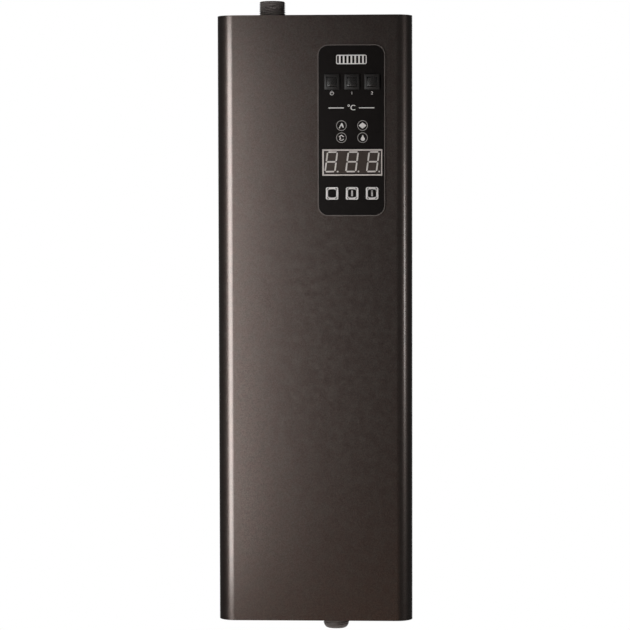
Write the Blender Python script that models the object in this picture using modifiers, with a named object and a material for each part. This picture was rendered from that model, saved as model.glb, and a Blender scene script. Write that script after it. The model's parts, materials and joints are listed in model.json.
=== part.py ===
"""A compact wall-hung electric boiler, in metres.

The origin is the centre of the back plate's rear face, which lies on the wall. +X is to the right of
someone who faces the boiler, +Y goes into the wall and +Z is up. Every place follows from the named sizes.
"""

import math

import bmesh
import bpy
from mathutils import Matrix, Vector

# Running and seating clearances
GAP = 0.0003
OVERRUN = 0.002
WELD = 0.000001

# Casing: a cover wrapped round the front and sides, over a tray and two end plates
CASE_WIDTH = 0.193
CASE_HEIGHT = 0.600
CASE_DEPTH = 0.130
CASE_CORNER = 0.016
COVER_SHEET = 0.0012
CHASSIS_SHEET = 0.0012
COVER_REVEAL = 0.001
END_RECESS = 0.001
END_FLANGE = 0.010
TRAY_FLANGE = 0.014

# Back plate: two pressed ribs behind the tank, keyholes above and round fixing holes below
RIB_WIDTH = 0.016
RIB_PITCH = 0.020
RIB_DEPTH = 0.0025
RIB_SLOPE = 0.003
KEYHOLE_PITCH = 0.130
KEYHOLE_DROP = 0.045
KEYHOLE_HEAD = 0.0055
KEYHOLE_SLOT = 0.0029
KEYHOLE_RISE = 0.011
FIXING_HOLE = 0.0035
FIXING_RISE = 0.035

# Countersunk screws through the cover's sides into the tray
SCREW_HEAD = 0.0034
SCREW_SHANK = 0.0017
SCREW_LENGTH = 0.008
SCREW_INSET = 0.0075
SCREW_PITCH = 0.480

# Vent slots in both end plates
SLOT_WIDTH = 0.003
SLOT_LENGTH = 0.024
SLOT_PITCH = 0.008
SLOT_COUNT = 6
SLOT_SIDE_GAP = 0.0373
SLOT_FRONT = 0.026

# Tank: a steel cylinder with a dished cap above and a collar below
TANK_RADIUS = 0.038
TANK_WALL = 0.002
TANK_SIDE_GAP = 0.0123
TANK_TOP_SPACE = 0.072
TANK_BOTTOM_SPACE = 0.110
CAP_RISE = 0.014
BASE_THICKNESS = 0.003
COLLAR_STEP = 0.005
COLLAR_WALL = 0.005
COLLAR_HEIGHT = 0.012

# Pipe stubs with a 3/4 inch pipe thread, and the elbow that feeds the tank
STUB_RADIUS = 0.0132
OUTLET_BORE = 0.0095
OUTLET_STAND = 0.019
OUTLET_NOSE_RADIUS = 0.0122
OUTLET_NOSE_LENGTH = 0.0013
OUTLET_DIP = 0.004
INLET_BORE = 0.0072
INLET_STAND = 0.0179
INLET_NOSE_RADIUS = 0.0093
INLET_NOSE_LENGTH = 0.0052
INLET_STUB_INSIDE = 0.036
INLET_OFFSET = 0.0636
INLET_PORT_RISE = 0.040
ELBOW_RADIUS = 0.011
ELBOW_BORE = 0.0085
ELBOW_BEND = 0.020
PIPE_CLEARANCE = 0.001
NUT_FLATS = 0.034
NUT_HEIGHT = 0.007

# Immersion heater: a hexagonal plug with hairpin elements and a star bridge
PLUG_REACH = 0.001
PLUG_HEIGHT = 0.012
PLUG_THREAD = 0.009
GASKET_THICKNESS = 0.002
GASKET_WIDTH = 0.005
ELEMENT_COUNT = 3
ELEMENT_RADIUS = 0.004
ELEMENT_SHARE = 0.535
ELEMENT_LENGTH = 0.290
ELEMENT_TAIL = 0.006
TERMINAL_RADIUS = 0.002
TERMINAL_LENGTH = 0.014
BRIDGE_WIDTH = 0.008
BRIDGE_THICKNESS = 0.001

# Brackets that carry the tank on the back plate
BRACKET_BAND = 0.002
BRACKET_HEIGHT = 0.018
BRACKET_LEG_X = 0.022
BRACKET_SHEET = 0.002
BRACKET_FOOT = 0.013
UPPER_BRACKET_DROP = 0.040
LOWER_BRACKET_RISE = 0.085

# Overheat thermostat on the tank's side, and the sensor pocket in its cap
THERMOSTAT_RADIUS = 0.008
THERMOSTAT_HEIGHT = 0.008
THERMOSTAT_DROP = 0.085
THERMOSTAT_TAB_WIDTH = 0.0048
THERMOSTAT_TAB_LENGTH = 0.007
THERMOSTAT_TAB_SHEET = 0.0008
SENSOR_RADIUS = 0.003
SENSOR_SHARE = 0.63
SENSOR_DEPTH = 0.045
SENSOR_HEAD = 0.0055
SENSOR_HEAD_HEIGHT = 0.008

# Fascia
FASCIA_WIDTH = 0.0639
FASCIA_HEIGHT = 0.1667
FASCIA_CORNER = 0.0095
FASCIA_THICKNESS = 0.001
FASCIA_SIDE_GAP = 0.02795
FASCIA_TOP = 0.0302
CONTROL_SHIFT = 0.0005
CONTROL_PITCH = 0.0197

# Rocker switches
ROCKER_DROP = 0.0358
BEZEL_WIDTH = 0.0154
BEZEL_HEIGHT = 0.0149
BEZEL_STAND = 0.002
BEZEL_SLOPE = 0.0008
HOUSING_WIDTH = 0.0128
HOUSING_HEIGHT = 0.0129
HOUSING_DEPTH = 0.015
ROCKER_WIDTH = 0.0100
ROCKER_FACE = 0.0022
ROCKER_HALF = 0.0046
ROCKER_SCOOP = 0.00035
ROCKER_BACK = 0.001
ROCKER_SINK = 0.0019
ROCKER_TILT = math.radians(12)
CAVITY_BACK = 0.0028
TRUNNION_RADIUS = 0.0009
TRUNNION_LENGTH = 0.0007
BLADE_WIDTH = 0.0048
BLADE_SHEET = 0.0008
BLADE_LENGTH = 0.006
BLADE_OFFSET = 0.0032

# Indicator lamps
ICON_DROP = 0.0846
ICON_PITCH_X = 0.0208
ICON_PITCH_Z = 0.0119
LAMP_RADIUS = 0.0015
LAMP_FLANGE = 0.0019
LAMP_FLANGE_HEIGHT = 0.001
LAMP_CLEARANCE = 0.0007

# Display
DISPLAY_DROP = 0.1149
DISPLAY_WIDTH = 0.0595
DISPLAY_HEIGHT = 0.0259
DISPLAY_DEPTH = 0.008
DISPLAY_RIM = 0.0017
DISPLAY_RECESS = 0.0009
FILTER_THICKNESS = 0.0004
DIGIT_COUNT = 3
DIGIT_PITCH = 0.0205
DIGIT_WIDTH = 0.0111
DIGIT_HEIGHT = 0.0204
DIGIT_RISE = 0.0006
DIGIT_SLANT = math.radians(7.5)
SEGMENT_WIDTH = 0.0015
SEGMENT_STAND = 0.0002
SEGMENT_BREAK = 0.0004
POINT_RADIUS = 0.00085
POINT_OFFSET = 0.0063

# Push buttons
BUTTON_DROP = 0.1453
SWITCH_SIZE = 0.0132
SWITCH_CORNER = 0.002
SWITCH_SINK = 0.0002
CAP_WIDTH = 0.008
CAP_HEIGHT = 0.0066
CAP_BULGE = 0.0008
CAP_STAND = 0.0007
CAP_CLEARANCE = 0.0002
CAP_LENGTH = 0.003
BUTTON_TRAVEL = 0.0005

# Display board behind the cover
BOARD_SHEET = 0.0016
BOARD_WIDTH = 0.063
BOARD_MARGIN = 0.004
STUD_RADIUS = 0.002

# Power board on its carrier
POWER_SIDE_GAP = 0.014
POWER_WALL_GAP = 0.006
POWER_HEIGHT = 0.160
POWER_DROP = 0.215
CARRIER_FOOT_HEIGHT = 0.004
CARRIER_FOOT_RADIUS = 0.005
CARRIER_SHEET = 0.003
CARRIER_POST_RADIUS = 0.003
CARRIER_POST_HEIGHT = 0.006
RELAY_COUNT = 3
RELAY_WIDTH = 0.016
RELAY_HEIGHT = 0.029
RELAY_DEPTH = 0.020
RELAY_RISE = 0.012
SUPPLY_WIDTH = 0.030
SUPPLY_HEIGHT = 0.026
SUPPLY_DEPTH = 0.022
SUPPLY_DROP = 0.030
CASE_BEVEL = 0.001

# Terminal block and earth stud on the back plate
BLOCK_POLES = 4
BLOCK_POLE_PITCH = 0.0085
BLOCK_HEIGHT = 0.026
BLOCK_DEPTH = 0.022
BLOCK_RISE = 0.085
BLOCK_SIDE_GAP = 0.005
EARTH_GAP = 0.003
WIRE_ENTRY = 0.0022
SCREW_WELL = 0.0026
WELL_DEPTH = 0.008
EARTH_RADIUS = 0.0025
EARTH_LENGTH = 0.012
EARTH_NUT_FLATS = 0.008
EARTH_NUT_HEIGHT = 0.004

# Cable grommets in the bottom plate
GROMMET_COUNT = 2
GROMMET_SIDE_GAP = 0.0173
GROMMET_PITCH = 0.028
GROMMET_WALL_GAP = 0.033
GROMMET_BORE = 0.0065
GROMMET_NECK = 0.009
GROMMET_FLANGE = 0.0115
GROMMET_LIP = 0.0018
GROMMET_GUARD = 0.0008

# Wiring
RIBBON_WIDTH = 0.010
RIBBON_SHEET = 0.0009
RIBBON_END = 0.010
RIBBON_EDGE_GAP = 0.016
LEAD_RADIUS = 0.0015
LEAD_LEVEL_STEP = 0.007
LEAD_DROP = 0.010
LEAD_STUB_GAP = 0.0016

# Fineness of round shapes
FINE = 32
ROUND = 24
SMALL = 16
TINY = 12
CORNER_STEPS = 8
SHARP = math.radians(35)
HEX = 6

# Places that follow from the sizes above
HALF_WIDTH = CASE_WIDTH / 2
INNER_HALF = HALF_WIDTH - COVER_SHEET
TOP = CASE_HEIGHT / 2
FRONT = -CASE_DEPTH
COVER_BACK = FRONT + COVER_SHEET
PANEL_FRONT = -CHASSIS_SHEET
TRAY_HALF = INNER_HALF - GAP
END_OUTER = TOP - END_RECESS
END_INNER = END_OUTER - CHASSIS_SHEET
TANK_X = -(INNER_HALF - TANK_SIDE_GAP - TANK_RADIUS)
TANK_Y = -CASE_DEPTH / 2
TANK_TOP = TOP - TANK_TOP_SPACE
TANK_BOTTOM = -TOP + TANK_BOTTOM_SPACE
INLET_X = TANK_X + INLET_OFFSET
COLLAR_RADIUS = TANK_RADIUS - COLLAR_STEP
COLLAR_BORE = COLLAR_RADIUS - COLLAR_WALL
PLUG_FLATS = 2 * (COLLAR_RADIUS - PLUG_REACH)
ELEMENT_CIRCLE = COLLAR_BORE * ELEMENT_SHARE
SENSOR_OFFSET = TANK_RADIUS * SENSOR_SHARE
FASCIA_X = HALF_WIDTH - FASCIA_SIDE_GAP - FASCIA_WIDTH / 2
CONTROL_X = FASCIA_X + CONTROL_SHIFT
FASCIA_BACK = FRONT - GAP
FASCIA_FRONT = FASCIA_BACK - FASCIA_THICKNESS
FASCIA_Z = TOP - FASCIA_TOP - FASCIA_HEIGHT / 2
FASCIA_EDGE = TOP - FASCIA_TOP
ROCKER_Z = FASCIA_EDGE - ROCKER_DROP
ICON_Z = FASCIA_EDGE - ICON_DROP
DISPLAY_Z = FASCIA_EDGE - DISPLAY_DROP
BUTTON_Z = FASCIA_EDGE - BUTTON_DROP
PIVOT_Y = FASCIA_FRONT - GAP - BEZEL_STAND + ROCKER_SINK
ROCKER_END = math.hypot(ROCKER_FACE, ROCKER_HALF)
SWITCH_FRONT = FASCIA_FRONT + SWITCH_SINK
DISPLAY_FRONT = FASCIA_FRONT + SWITCH_SINK
BOARD_FRONT = DISPLAY_FRONT + DISPLAY_DEPTH + GAP
BOARD_BACK = BOARD_FRONT + BOARD_SHEET
BOARD_TOP = ICON_Z + ICON_PITCH_Z / 2 + LAMP_FLANGE + BOARD_MARGIN + STUD_RADIUS
BOARD_BOTTOM = BUTTON_Z - SWITCH_SIZE / 2 - BOARD_MARGIN
CARRIER_BACK = PANEL_FRONT - GAP
CARRIER_FACE = CARRIER_BACK - CARRIER_FOOT_HEIGHT - CARRIER_SHEET
POWER_BACK = CARRIER_FACE - CARRIER_POST_HEIGHT - GAP
POWER_FRONT = POWER_BACK - BOARD_SHEET
POWER_LEFT = TANK_X + TANK_RADIUS + POWER_SIDE_GAP
POWER_RIGHT = INNER_HALF - POWER_WALL_GAP
POWER_TOP = TOP - POWER_DROP
POWER_BOTTOM = POWER_TOP - POWER_HEIGHT

UPRIGHT = Matrix.Rotation(math.radians(90), 4, "X")
SIDEWAYS = Matrix(((0, 0, 1, 0), (1, 0, 0, 0), (0, 1, 0, 0), (0, 0, 0, 1)))


# Scene, materials and the two collections
def clear_scene():
    for obj in list(bpy.data.objects):
        bpy.data.objects.remove(obj, do_unlink=True)


def new_collection(name):
    collection = bpy.data.collections.new(name)
    bpy.context.scene.collection.children.link(collection)
    return collection


def paint(name, colour, roughness, metallic=0.0):
    material = bpy.data.materials.new(name)
    material.use_nodes = True
    shader = material.node_tree.nodes["Principled BSDF"]
    shader.inputs["Base Color"].default_value = (*colour, 1.0)
    shader.inputs["Roughness"].default_value = roughness
    shader.inputs["Metallic"].default_value = metallic
    return material


clear_scene()
PARTS = new_collection("electric_boiler")
HELPERS = new_collection("cutters_and_guides")

BRONZE = paint("bronze_paint", (0.085, 0.065, 0.058), 0.38, 0.6)
ZINC = paint("zinc_sheet", (0.55, 0.56, 0.58), 0.4, 1.0)
FILM = paint("black_fascia", (0.008, 0.008, 0.008), 0.35)
BLACK = paint("black_plastic", (0.012, 0.012, 0.012), 0.3)
WHITE = paint("white_plastic", (0.7, 0.69, 0.68), 0.4)
SMOKE = paint("smoked_filter", (0.04, 0.03, 0.028), 0.25)
BOARD = paint("circuit_board", (0.02, 0.12, 0.05), 0.45)
STEEL = paint("tank_steel", (0.45, 0.45, 0.46), 0.35, 1.0)
DARK_STEEL = paint("stub_steel", (0.07, 0.062, 0.06), 0.4, 0.8)
BRASS = paint("brass", (0.62, 0.42, 0.14), 0.3, 1.0)
COPPER = paint("copper", (0.7, 0.3, 0.16), 0.3, 1.0)
RUBBER = paint("rubber", (0.02, 0.02, 0.02), 0.8)
IVORY = paint("ivory_plastic", (0.6, 0.57, 0.48), 0.5)
BLUE = paint("relay_blue", (0.03, 0.09, 0.3), 0.4)
SHEATH = paint("lead_sheath", (0.25, 0.03, 0.02), 0.5)
LAMP = paint("lamp_lens", (0.5, 0.5, 0.48), 0.2)


# Shape helpers: with no material a shape is a cutter or a guide
def add_object(name, data, material=None):
    obj = bpy.data.objects.new(name, data)
    (PARTS if material else HELPERS).objects.link(obj)
    if material:
        data.materials.append(material)
    else:
        obj.hide_render = True
        obj.display_type = "WIRE"
    return obj


def mesh_object(name, bm, material=None, smooth=False):
    mesh = bpy.data.meshes.new(name)
    bm.to_mesh(mesh)
    bm.free()
    if smooth:
        mesh.shade_smooth()
        mesh.set_sharp_from_angle(angle=SHARP)
    return add_object(name, mesh, material)


def box(name, low, high, material=None, front_inset=0.0, bevel=0.0):
    """A box between two corners; front_inset draws its -Y face in on all four sides."""
    low, high = Vector(low), Vector(high)
    middle, size = (low + high) / 2, high - low
    bm = bmesh.new()
    bmesh.ops.create_cube(bm, size=1.0)
    for vert in bm.verts:
        at_front = vert.co.y < 0
        vert.co = Vector(middle[i] + vert.co[i] * size[i] for i in range(3))
        if at_front and front_inset:
            vert.co.x -= math.copysign(front_inset, vert.co.x - middle.x)
            vert.co.z -= math.copysign(front_inset, vert.co.z - middle.z)
    obj = mesh_object(name, bm, material)
    if bevel:
        rounding = obj.modifiers.new("rounding", "BEVEL")
        rounding.width = bevel
        rounding.segments = 2
    return obj


def rod(name, radius, start, end, sides=ROUND, material=None, end_radius=None):
    """A cylinder, cone or prism from start to end."""
    start, end = Vector(start), Vector(end)
    along = end - start
    turn = Vector((0, 0, 1)).rotation_difference(along).to_matrix().to_4x4()
    bm = bmesh.new()
    bmesh.ops.create_cone(
        bm,
        cap_ends=True,
        segments=sides,
        radius1=radius,
        radius2=radius if end_radius is None else end_radius,
        depth=along.length,
        matrix=Matrix.Translation((start + end) / 2) @ turn,
    )
    return mesh_object(name, bm, material, smooth=sides > HEX)


def hexagon(name, flats, start, end, material=None):
    return rod(name, flats / math.sqrt(3), start, end, HEX, material)


def turned(name, profile, place, material=None, steps=ROUND, ring=True):
    """A profile of (radius, height) points, turned about the vertical through place.

    It runs down the outer side. A ring's profile is a closed loop; any other starts and ends on the axis.
    """
    bm = bmesh.new()
    points = [bm.verts.new((radius, 0, height)) for radius, height in profile]
    for first, second in zip(points, points[1:] + points[:1] if ring else points[1:]):
        bm.edges.new((first, second))
    obj = mesh_object(name, bm, material)
    obj.location = place
    screw = obj.modifiers.new("turning", "SCREW")
    screw.steps = screw.render_steps = steps
    screw.use_merge_vertices = True
    screw.merge_threshold = WELD
    screw.use_smooth_shade = True
    return obj


def as_mesh(obj, bake=None):
    """Replaces a curve object by a closed mesh object of the same name and place."""
    bpy.context.view_layer.update()
    graph = bpy.context.evaluated_depsgraph_get()
    mesh = bpy.data.meshes.new_from_object(obj.evaluated_get(graph))
    bm = bmesh.new()
    bm.from_mesh(mesh)
    bmesh.ops.remove_doubles(bm, verts=bm.verts, dist=WELD)
    bmesh.ops.recalc_face_normals(bm, faces=bm.faces)
    if bake is not None:
        bmesh.ops.transform(bm, matrix=bake, verts=bm.verts)
    bm.to_mesh(mesh)
    bm.free()
    name, place, helper = obj.name, obj.matrix_world.copy(), obj.hide_render
    material = None if helper else obj.data.materials[0]
    bpy.data.objects.remove(obj, do_unlink=True)
    mesh.materials.clear()
    solid = add_object(name, mesh, material)
    solid.name = name
    solid.matrix_world = place
    return solid


def flat_plate(name, outlines, thickness, place, material=None, bake=None):
    """A plate filled between its outlines, the first the outer one, thickness shared about place."""
    curve = bpy.data.curves.new(name, "CURVE")
    curve.dimensions = "2D"
    curve.fill_mode = "BOTH"
    curve.extrude = thickness / 2
    for outline in outlines:
        spline = curve.splines.new("POLY")
        spline.points.add(len(outline) - 1)
        for point, (across, up) in zip(spline.points, outline):
            point.co = (across, up, 0, 1)
        spline.use_cyclic_u = True
    obj = add_object(name, curve, material)
    obj.matrix_world = place
    return as_mesh(obj, bake)


def upright_plate(name, outlines, back, front, material=None):
    """A plate in the XZ plane between two depths."""
    place = Matrix.Translation((0, (back + front) / 2, 0)) @ UPRIGHT
    return flat_plate(name, outlines, abs(back - front), place, material)


def level_plate(name, outlines, low, high, material=None):
    return flat_plate(name, outlines, high - low, Matrix.Translation((0, 0, (low + high) / 2)), material)


def circle(centre, radius, steps=ROUND):
    turns = [2 * math.pi * step / steps for step in range(steps)]
    return [(centre[0] + radius * math.cos(turn), centre[1] + radius * math.sin(turn)) for turn in turns]


def rounded_outline(centre, width, height, radius, steps=CORNER_STEPS):
    points = []
    for quarter, (side, end) in enumerate(((1, 1), (-1, 1), (-1, -1), (1, -1))):
        middle = (centre[0] + side * (width / 2 - radius), centre[1] + end * (height / 2 - radius))
        for step in range(steps + 1):
            turn = math.pi / 2 * (quarter + step / steps)
            points.append((middle[0] + radius * math.cos(turn), middle[1] + radius * math.sin(turn)))
    return points


def slot_outline(centre, width, height, steps=4):
    """A slot that runs up and down, round at both ends."""
    points = []
    for half, end in enumerate((1, -1)):
        for step in range(steps + 1):
            turn = math.pi * (half + step / steps)
            up = centre[1] + end * (height - width) / 2
            points.append((centre[0] + width / 2 * math.cos(turn), up + width / 2 * math.sin(turn)))
    return points


def square_outline(centre, width, height):
    return [
        (centre[0] + side * width / 2, centre[1] + end * height / 2)
        for side, end in ((1, 1), (-1, 1), (-1, -1), (1, -1))
    ]


def bent_sheet(name, path, start, end, axis, thickness, material):
    """A strip along path, drawn out from start to end along an axis and thickened towards its inside."""
    others = [i for i in range(3) if i != axis]
    bm = bmesh.new()
    points = []
    for first, second in path:
        place = [0.0, 0.0, 0.0]
        place[axis], place[others[0]], place[others[1]] = start, first, second
        points.append(bm.verts.new(place))
    edges = [bm.edges.new(pair) for pair in zip(points, points[1:])]
    grown = bmesh.ops.extrude_edge_only(bm, edges=edges)["geom"]
    shift = Vector((0, 0, 0))
    shift[axis] = end - start
    far = [item for item in grown if isinstance(item, bmesh.types.BMVert)]
    bmesh.ops.translate(bm, vec=shift, verts=far)
    bm.normal_update()
    corners = [vert.co for vert in bm.verts]
    middle = sum(corners, Vector((0, 0, 0))) / len(corners)
    if sum(face.normal.dot(face.calc_center_median() - middle) for face in bm.faces) < 0:
        bmesh.ops.reverse_faces(bm, faces=bm.faces)
    obj = mesh_object(name, bm, material, smooth=True)
    shell = obj.modifiers.new("sheet", "SOLIDIFY")
    shell.thickness = thickness
    shell.offset = -1
    shell.use_even_offset = True
    return obj


def wire(name, points, radius, material=None, resolution=2, shares=None):
    """A round bar along points; shares thins it point by point."""
    curve = bpy.data.curves.new(name, "CURVE")
    curve.dimensions = "3D"
    curve.bevel_depth = radius
    curve.bevel_resolution = resolution
    curve.use_fill_caps = True
    spline = curve.splines.new("POLY")
    spline.points.add(len(points) - 1)
    for index, (point, place) in enumerate(zip(spline.points, points)):
        point.co = (*place, 1)
        point.radius = shares[index] if shares else 1.0
    return add_object(name, curve, material)


def flow(points, steps):
    """A smooth curve through the given points, straight at its ends."""
    padded = [points[0]] + points + [points[-1]]
    padded = [Vector(point) for point in padded]
    route = []
    for before, start, end, after in zip(padded, padded[1:], padded[2:], padded[3:]):
        for step in range(steps):
            t = step / steps
            pull = (end - before) / 2
            leave = (after - start) / 2
            route.append(
                start * (2 * t**3 - 3 * t**2 + 1)
                + pull * (t**3 - 2 * t**2 + t)
                + end * (-2 * t**3 + 3 * t**2)
                + leave * (t**3 - t**2)
            )
    return route + [padded[-1]]


def joined(name, tools):
    """One cutter or guide made of several that stand clear of each other."""
    bpy.context.view_layer.update()
    bm = bmesh.new()
    for tool in tools:
        tool.data.transform(tool.matrix_world)
        bm.from_mesh(tool.data)
        bpy.data.objects.remove(tool, do_unlink=True)
    return mesh_object(name, bm)


def boolean(target, tool, operation):
    modifier = target.modifiers.new(f"{operation.lower()}_{tool.name}", "BOOLEAN")
    modifier.operation = operation
    modifier.solver = "EXACT"
    modifier.object = tool


def carve(target, *tools):
    for tool in tools:
        boolean(target, tool, "DIFFERENCE")


def fuse(target, *tools):
    for tool in tools:
        boolean(target, tool, "UNION")


# Places that repeat
def control_columns():
    return [CONTROL_X + (index - 1) * CONTROL_PITCH for index in range(3)]


def icon_places():
    return [
        (CONTROL_X + side * ICON_PITCH_X / 2, ICON_Z + end * ICON_PITCH_Z / 2)
        for end in (1, -1)
        for side in (-1, 1)
    ]


def stud_places():
    lower = (DISPLAY_Z - DISPLAY_HEIGHT / 2 + BUTTON_Z + SWITCH_SIZE / 2) / 2
    upper = BOARD_TOP - STUD_RADIUS - GAP
    reach = BOARD_WIDTH / 2 - STUD_RADIUS - GAP
    return [(CONTROL_X + side * reach, height) for height in (upper, lower) for side in (-1, 1)]


def grommet_places():
    last = INNER_HALF - GROMMET_SIDE_GAP
    return [(last - index * GROMMET_PITCH, -GROMMET_WALL_GAP) for index in reversed(range(GROMMET_COUNT))]


# Casing
def cover_path():
    """From the left rear edge round both front corners to the right rear edge."""
    path = [(-HALF_WIDTH, -COVER_REVEAL)]
    for side, begin in ((-1, 180), (1, 270)):
        centre = (side * (HALF_WIDTH - CASE_CORNER), FRONT + CASE_CORNER)
        for step in range(CORNER_STEPS + 1):
            turn = math.radians(begin + 90 * step / CORNER_STEPS)
            across, out = CASE_CORNER * math.cos(turn), CASE_CORNER * math.sin(turn)
            path.append((centre[0] + across, centre[1] + out))
    return path + [(HALF_WIDTH, -COVER_REVEAL)]


def front_hole(name, centre, width, height, corner=0.0):
    """A cutter through the cover's front."""
    if corner:
        outline = rounded_outline(centre, width, height, corner, SMALL // 4)
    else:
        outline = square_outline(centre, width, height)
    return upright_plate(name, [outline], COVER_BACK + OVERRUN, FRONT - OVERRUN)


def screw_places():
    return [(side, end * SCREW_PITCH / 2) for side in (-1, 1) for end in (1, -1)]


def front_holes():
    """Cutters for the switches, the display and the lamps."""
    window = (DISPLAY_WIDTH + 2 * GAP, DISPLAY_HEIGHT + 2 * GAP)
    tools = [front_hole("display_hole", (CONTROL_X, DISPLAY_Z), *window)]
    for index, x in enumerate(control_columns(), 1):
        housing_hole = (HOUSING_WIDTH + 2 * GAP, HOUSING_HEIGHT + 2 * GAP)
        tools.append(front_hole(f"rocker_hole_{index}", (x, ROCKER_Z), *housing_hole))
        size = SWITCH_SIZE + 2 * GAP
        tools.append(front_hole(f"button_hole_{index}", (x, BUTTON_Z), size, size, SWITCH_CORNER))
    for index, (x, z) in enumerate(icon_places(), 1):
        ends = (x, COVER_BACK + OVERRUN, z), (x, FRONT - OVERRUN, z)
        tools.append(rod(f"lamp_hole_{index}", LAMP_RADIUS + LAMP_CLEARANCE, *ends, TINY))
    return tools


def build_front_cover():
    cover = bent_sheet("front_cover", cover_path(), -TOP, TOP, 2, COVER_SHEET, BRONZE)
    root = COVER_BACK - COVER_SHEET / 2
    studs, sinks, shanks = [], [], []
    for index, (x, z) in enumerate(stud_places(), 1):
        studs.append(rod(f"stud_{index}", STUD_RADIUS, (x, root, z), (x, BOARD_FRONT - GAP, z), TINY))
    past = SCREW_SHANK / 2
    extra = past * COVER_SHEET / (SCREW_HEAD - SCREW_SHANK)
    narrow, wide = past + GAP, SCREW_HEAD + past + GAP
    for index, (side, z) in enumerate(screw_places(), 1):
        inner = (side * (INNER_HALF - extra), -SCREW_INSET, z)
        outer = (side * (HALF_WIDTH + extra), -SCREW_INSET, z)
        deep = (side * (INNER_HALF - OVERRUN), -SCREW_INSET, z)
        sinks.append(rod(f"countersink_{index}", narrow, inner, outer, SMALL, None, wide))
        shanks.append(rod(f"shank_hole_{index}", SCREW_SHANK + GAP, deep, outer, SMALL))
    fuse(cover, joined("studs", studs))
    carve(cover, joined("front_holes", front_holes()))
    carve(cover, joined("countersinks", sinks), joined("shank_holes", shanks))


def build_cover_screws():
    for index, (side, z) in enumerate(screw_places(), 1):
        head = side * HALF_WIDTH
        neck = side * INNER_HALF
        tip = side * (HALF_WIDTH - SCREW_LENGTH)
        place = (-SCREW_INSET, z)
        middle = side * (HALF_WIDTH - COVER_SHEET / 2)
        ends = (head, *place), (neck, *place)
        screw = rod(f"cover_screw_{index}", SCREW_HEAD, *ends, SMALL, ZINC, SCREW_SHANK)
        fuse(screw, rod(f"screw_shank_{index}", SCREW_SHANK, (middle, *place), (tip, *place), SMALL))


def tray_path():
    """Across the back plate from one side flange to the other, over both pressed ribs."""
    path = [(-TRAY_HALF, -TRAY_FLANGE), (-TRAY_HALF, 0.0)]
    for middle in (TANK_X - RIB_PITCH / 2, TANK_X + RIB_PITCH / 2):
        outer, inner = RIB_WIDTH / 2, RIB_WIDTH / 2 - RIB_SLOPE
        path += [
            (middle - outer, 0.0),
            (middle - inner, -RIB_DEPTH),
            (middle + inner, -RIB_DEPTH),
            (middle + outer, 0.0),
        ]
    return path + [(TRAY_HALF, 0.0), (TRAY_HALF, -TRAY_FLANGE)]


def wall_cutter(name, outline):
    return upright_plate(name, [outline], OVERRUN, PANEL_FRONT - OVERRUN)


def build_back_plate():
    reach = END_INNER - GAP
    tray = bent_sheet("back_plate", tray_path(), -reach, reach, 2, CHASSIS_SHEET, ZINC)
    ends = (EARTH_X, OVERRUN, EARTH_Z), (EARTH_X, PANEL_FRONT - OVERRUN, EARTH_Z)
    heads, slots, screws = [rod("earth_hole", EARTH_RADIUS + GAP, *ends, SMALL)], [], []
    for name, side in (("left", -1), ("right", 1)):
        x = side * KEYHOLE_PITCH / 2
        z = TOP - KEYHOLE_DROP
        outline = slot_outline((x, z + KEYHOLE_RISE / 2), 2 * KEYHOLE_SLOT, KEYHOLE_RISE + 2 * KEYHOLE_SLOT)
        fixing = circle((x, -TOP + FIXING_RISE), FIXING_HOLE, SMALL)
        heads.append(wall_cutter(f"keyhole_head_{name}", circle((x, z), KEYHOLE_HEAD)))
        heads.append(wall_cutter(f"fixing_hole_{name}", fixing))
        slots.append(wall_cutter(f"keyhole_slot_{name}", outline))
    for index, (side, z) in enumerate(screw_places(), 1):
        outer = (side * (HALF_WIDTH + OVERRUN), -SCREW_INSET, z)
        inner = (side * (HALF_WIDTH - SCREW_LENGTH), -SCREW_INSET, z)
        screws.append(rod(f"tray_screw_hole_{index}", SCREW_SHANK + GAP, outer, inner, SMALL))
    carve(tray, joined("keyhole_heads", heads), joined("keyhole_slots", slots))
    carve(tray, joined("tray_screw_holes", screws))


def end_outline():
    """The plan of an end plate: square at the wall, rounded inside the cover's front corners."""
    corner = CASE_CORNER - COVER_SHEET - GAP
    points = [(TRAY_HALF, 0.0), (-TRAY_HALF, 0.0)]
    for side, begin in ((-1, 180), (1, 270)):
        centre = (side * (TRAY_HALF - corner), COVER_BACK + GAP + corner)
        for step in range(CORNER_STEPS + 1):
            turn = math.radians(begin + 90 * step / CORNER_STEPS)
            points.append((centre[0] + corner * math.cos(turn), centre[1] + corner * math.sin(turn)))
    return points


def slot_outlines():
    first = INNER_HALF - SLOT_SIDE_GAP - (SLOT_COUNT - 1) * SLOT_PITCH / 2
    middle = FRONT + SLOT_FRONT + SLOT_LENGTH / 2
    places = [(first + index * SLOT_PITCH, middle) for index in range(SLOT_COUNT)]
    return [slot_outline(place, SLOT_WIDTH, SLOT_LENGTH) for place in places]


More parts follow.
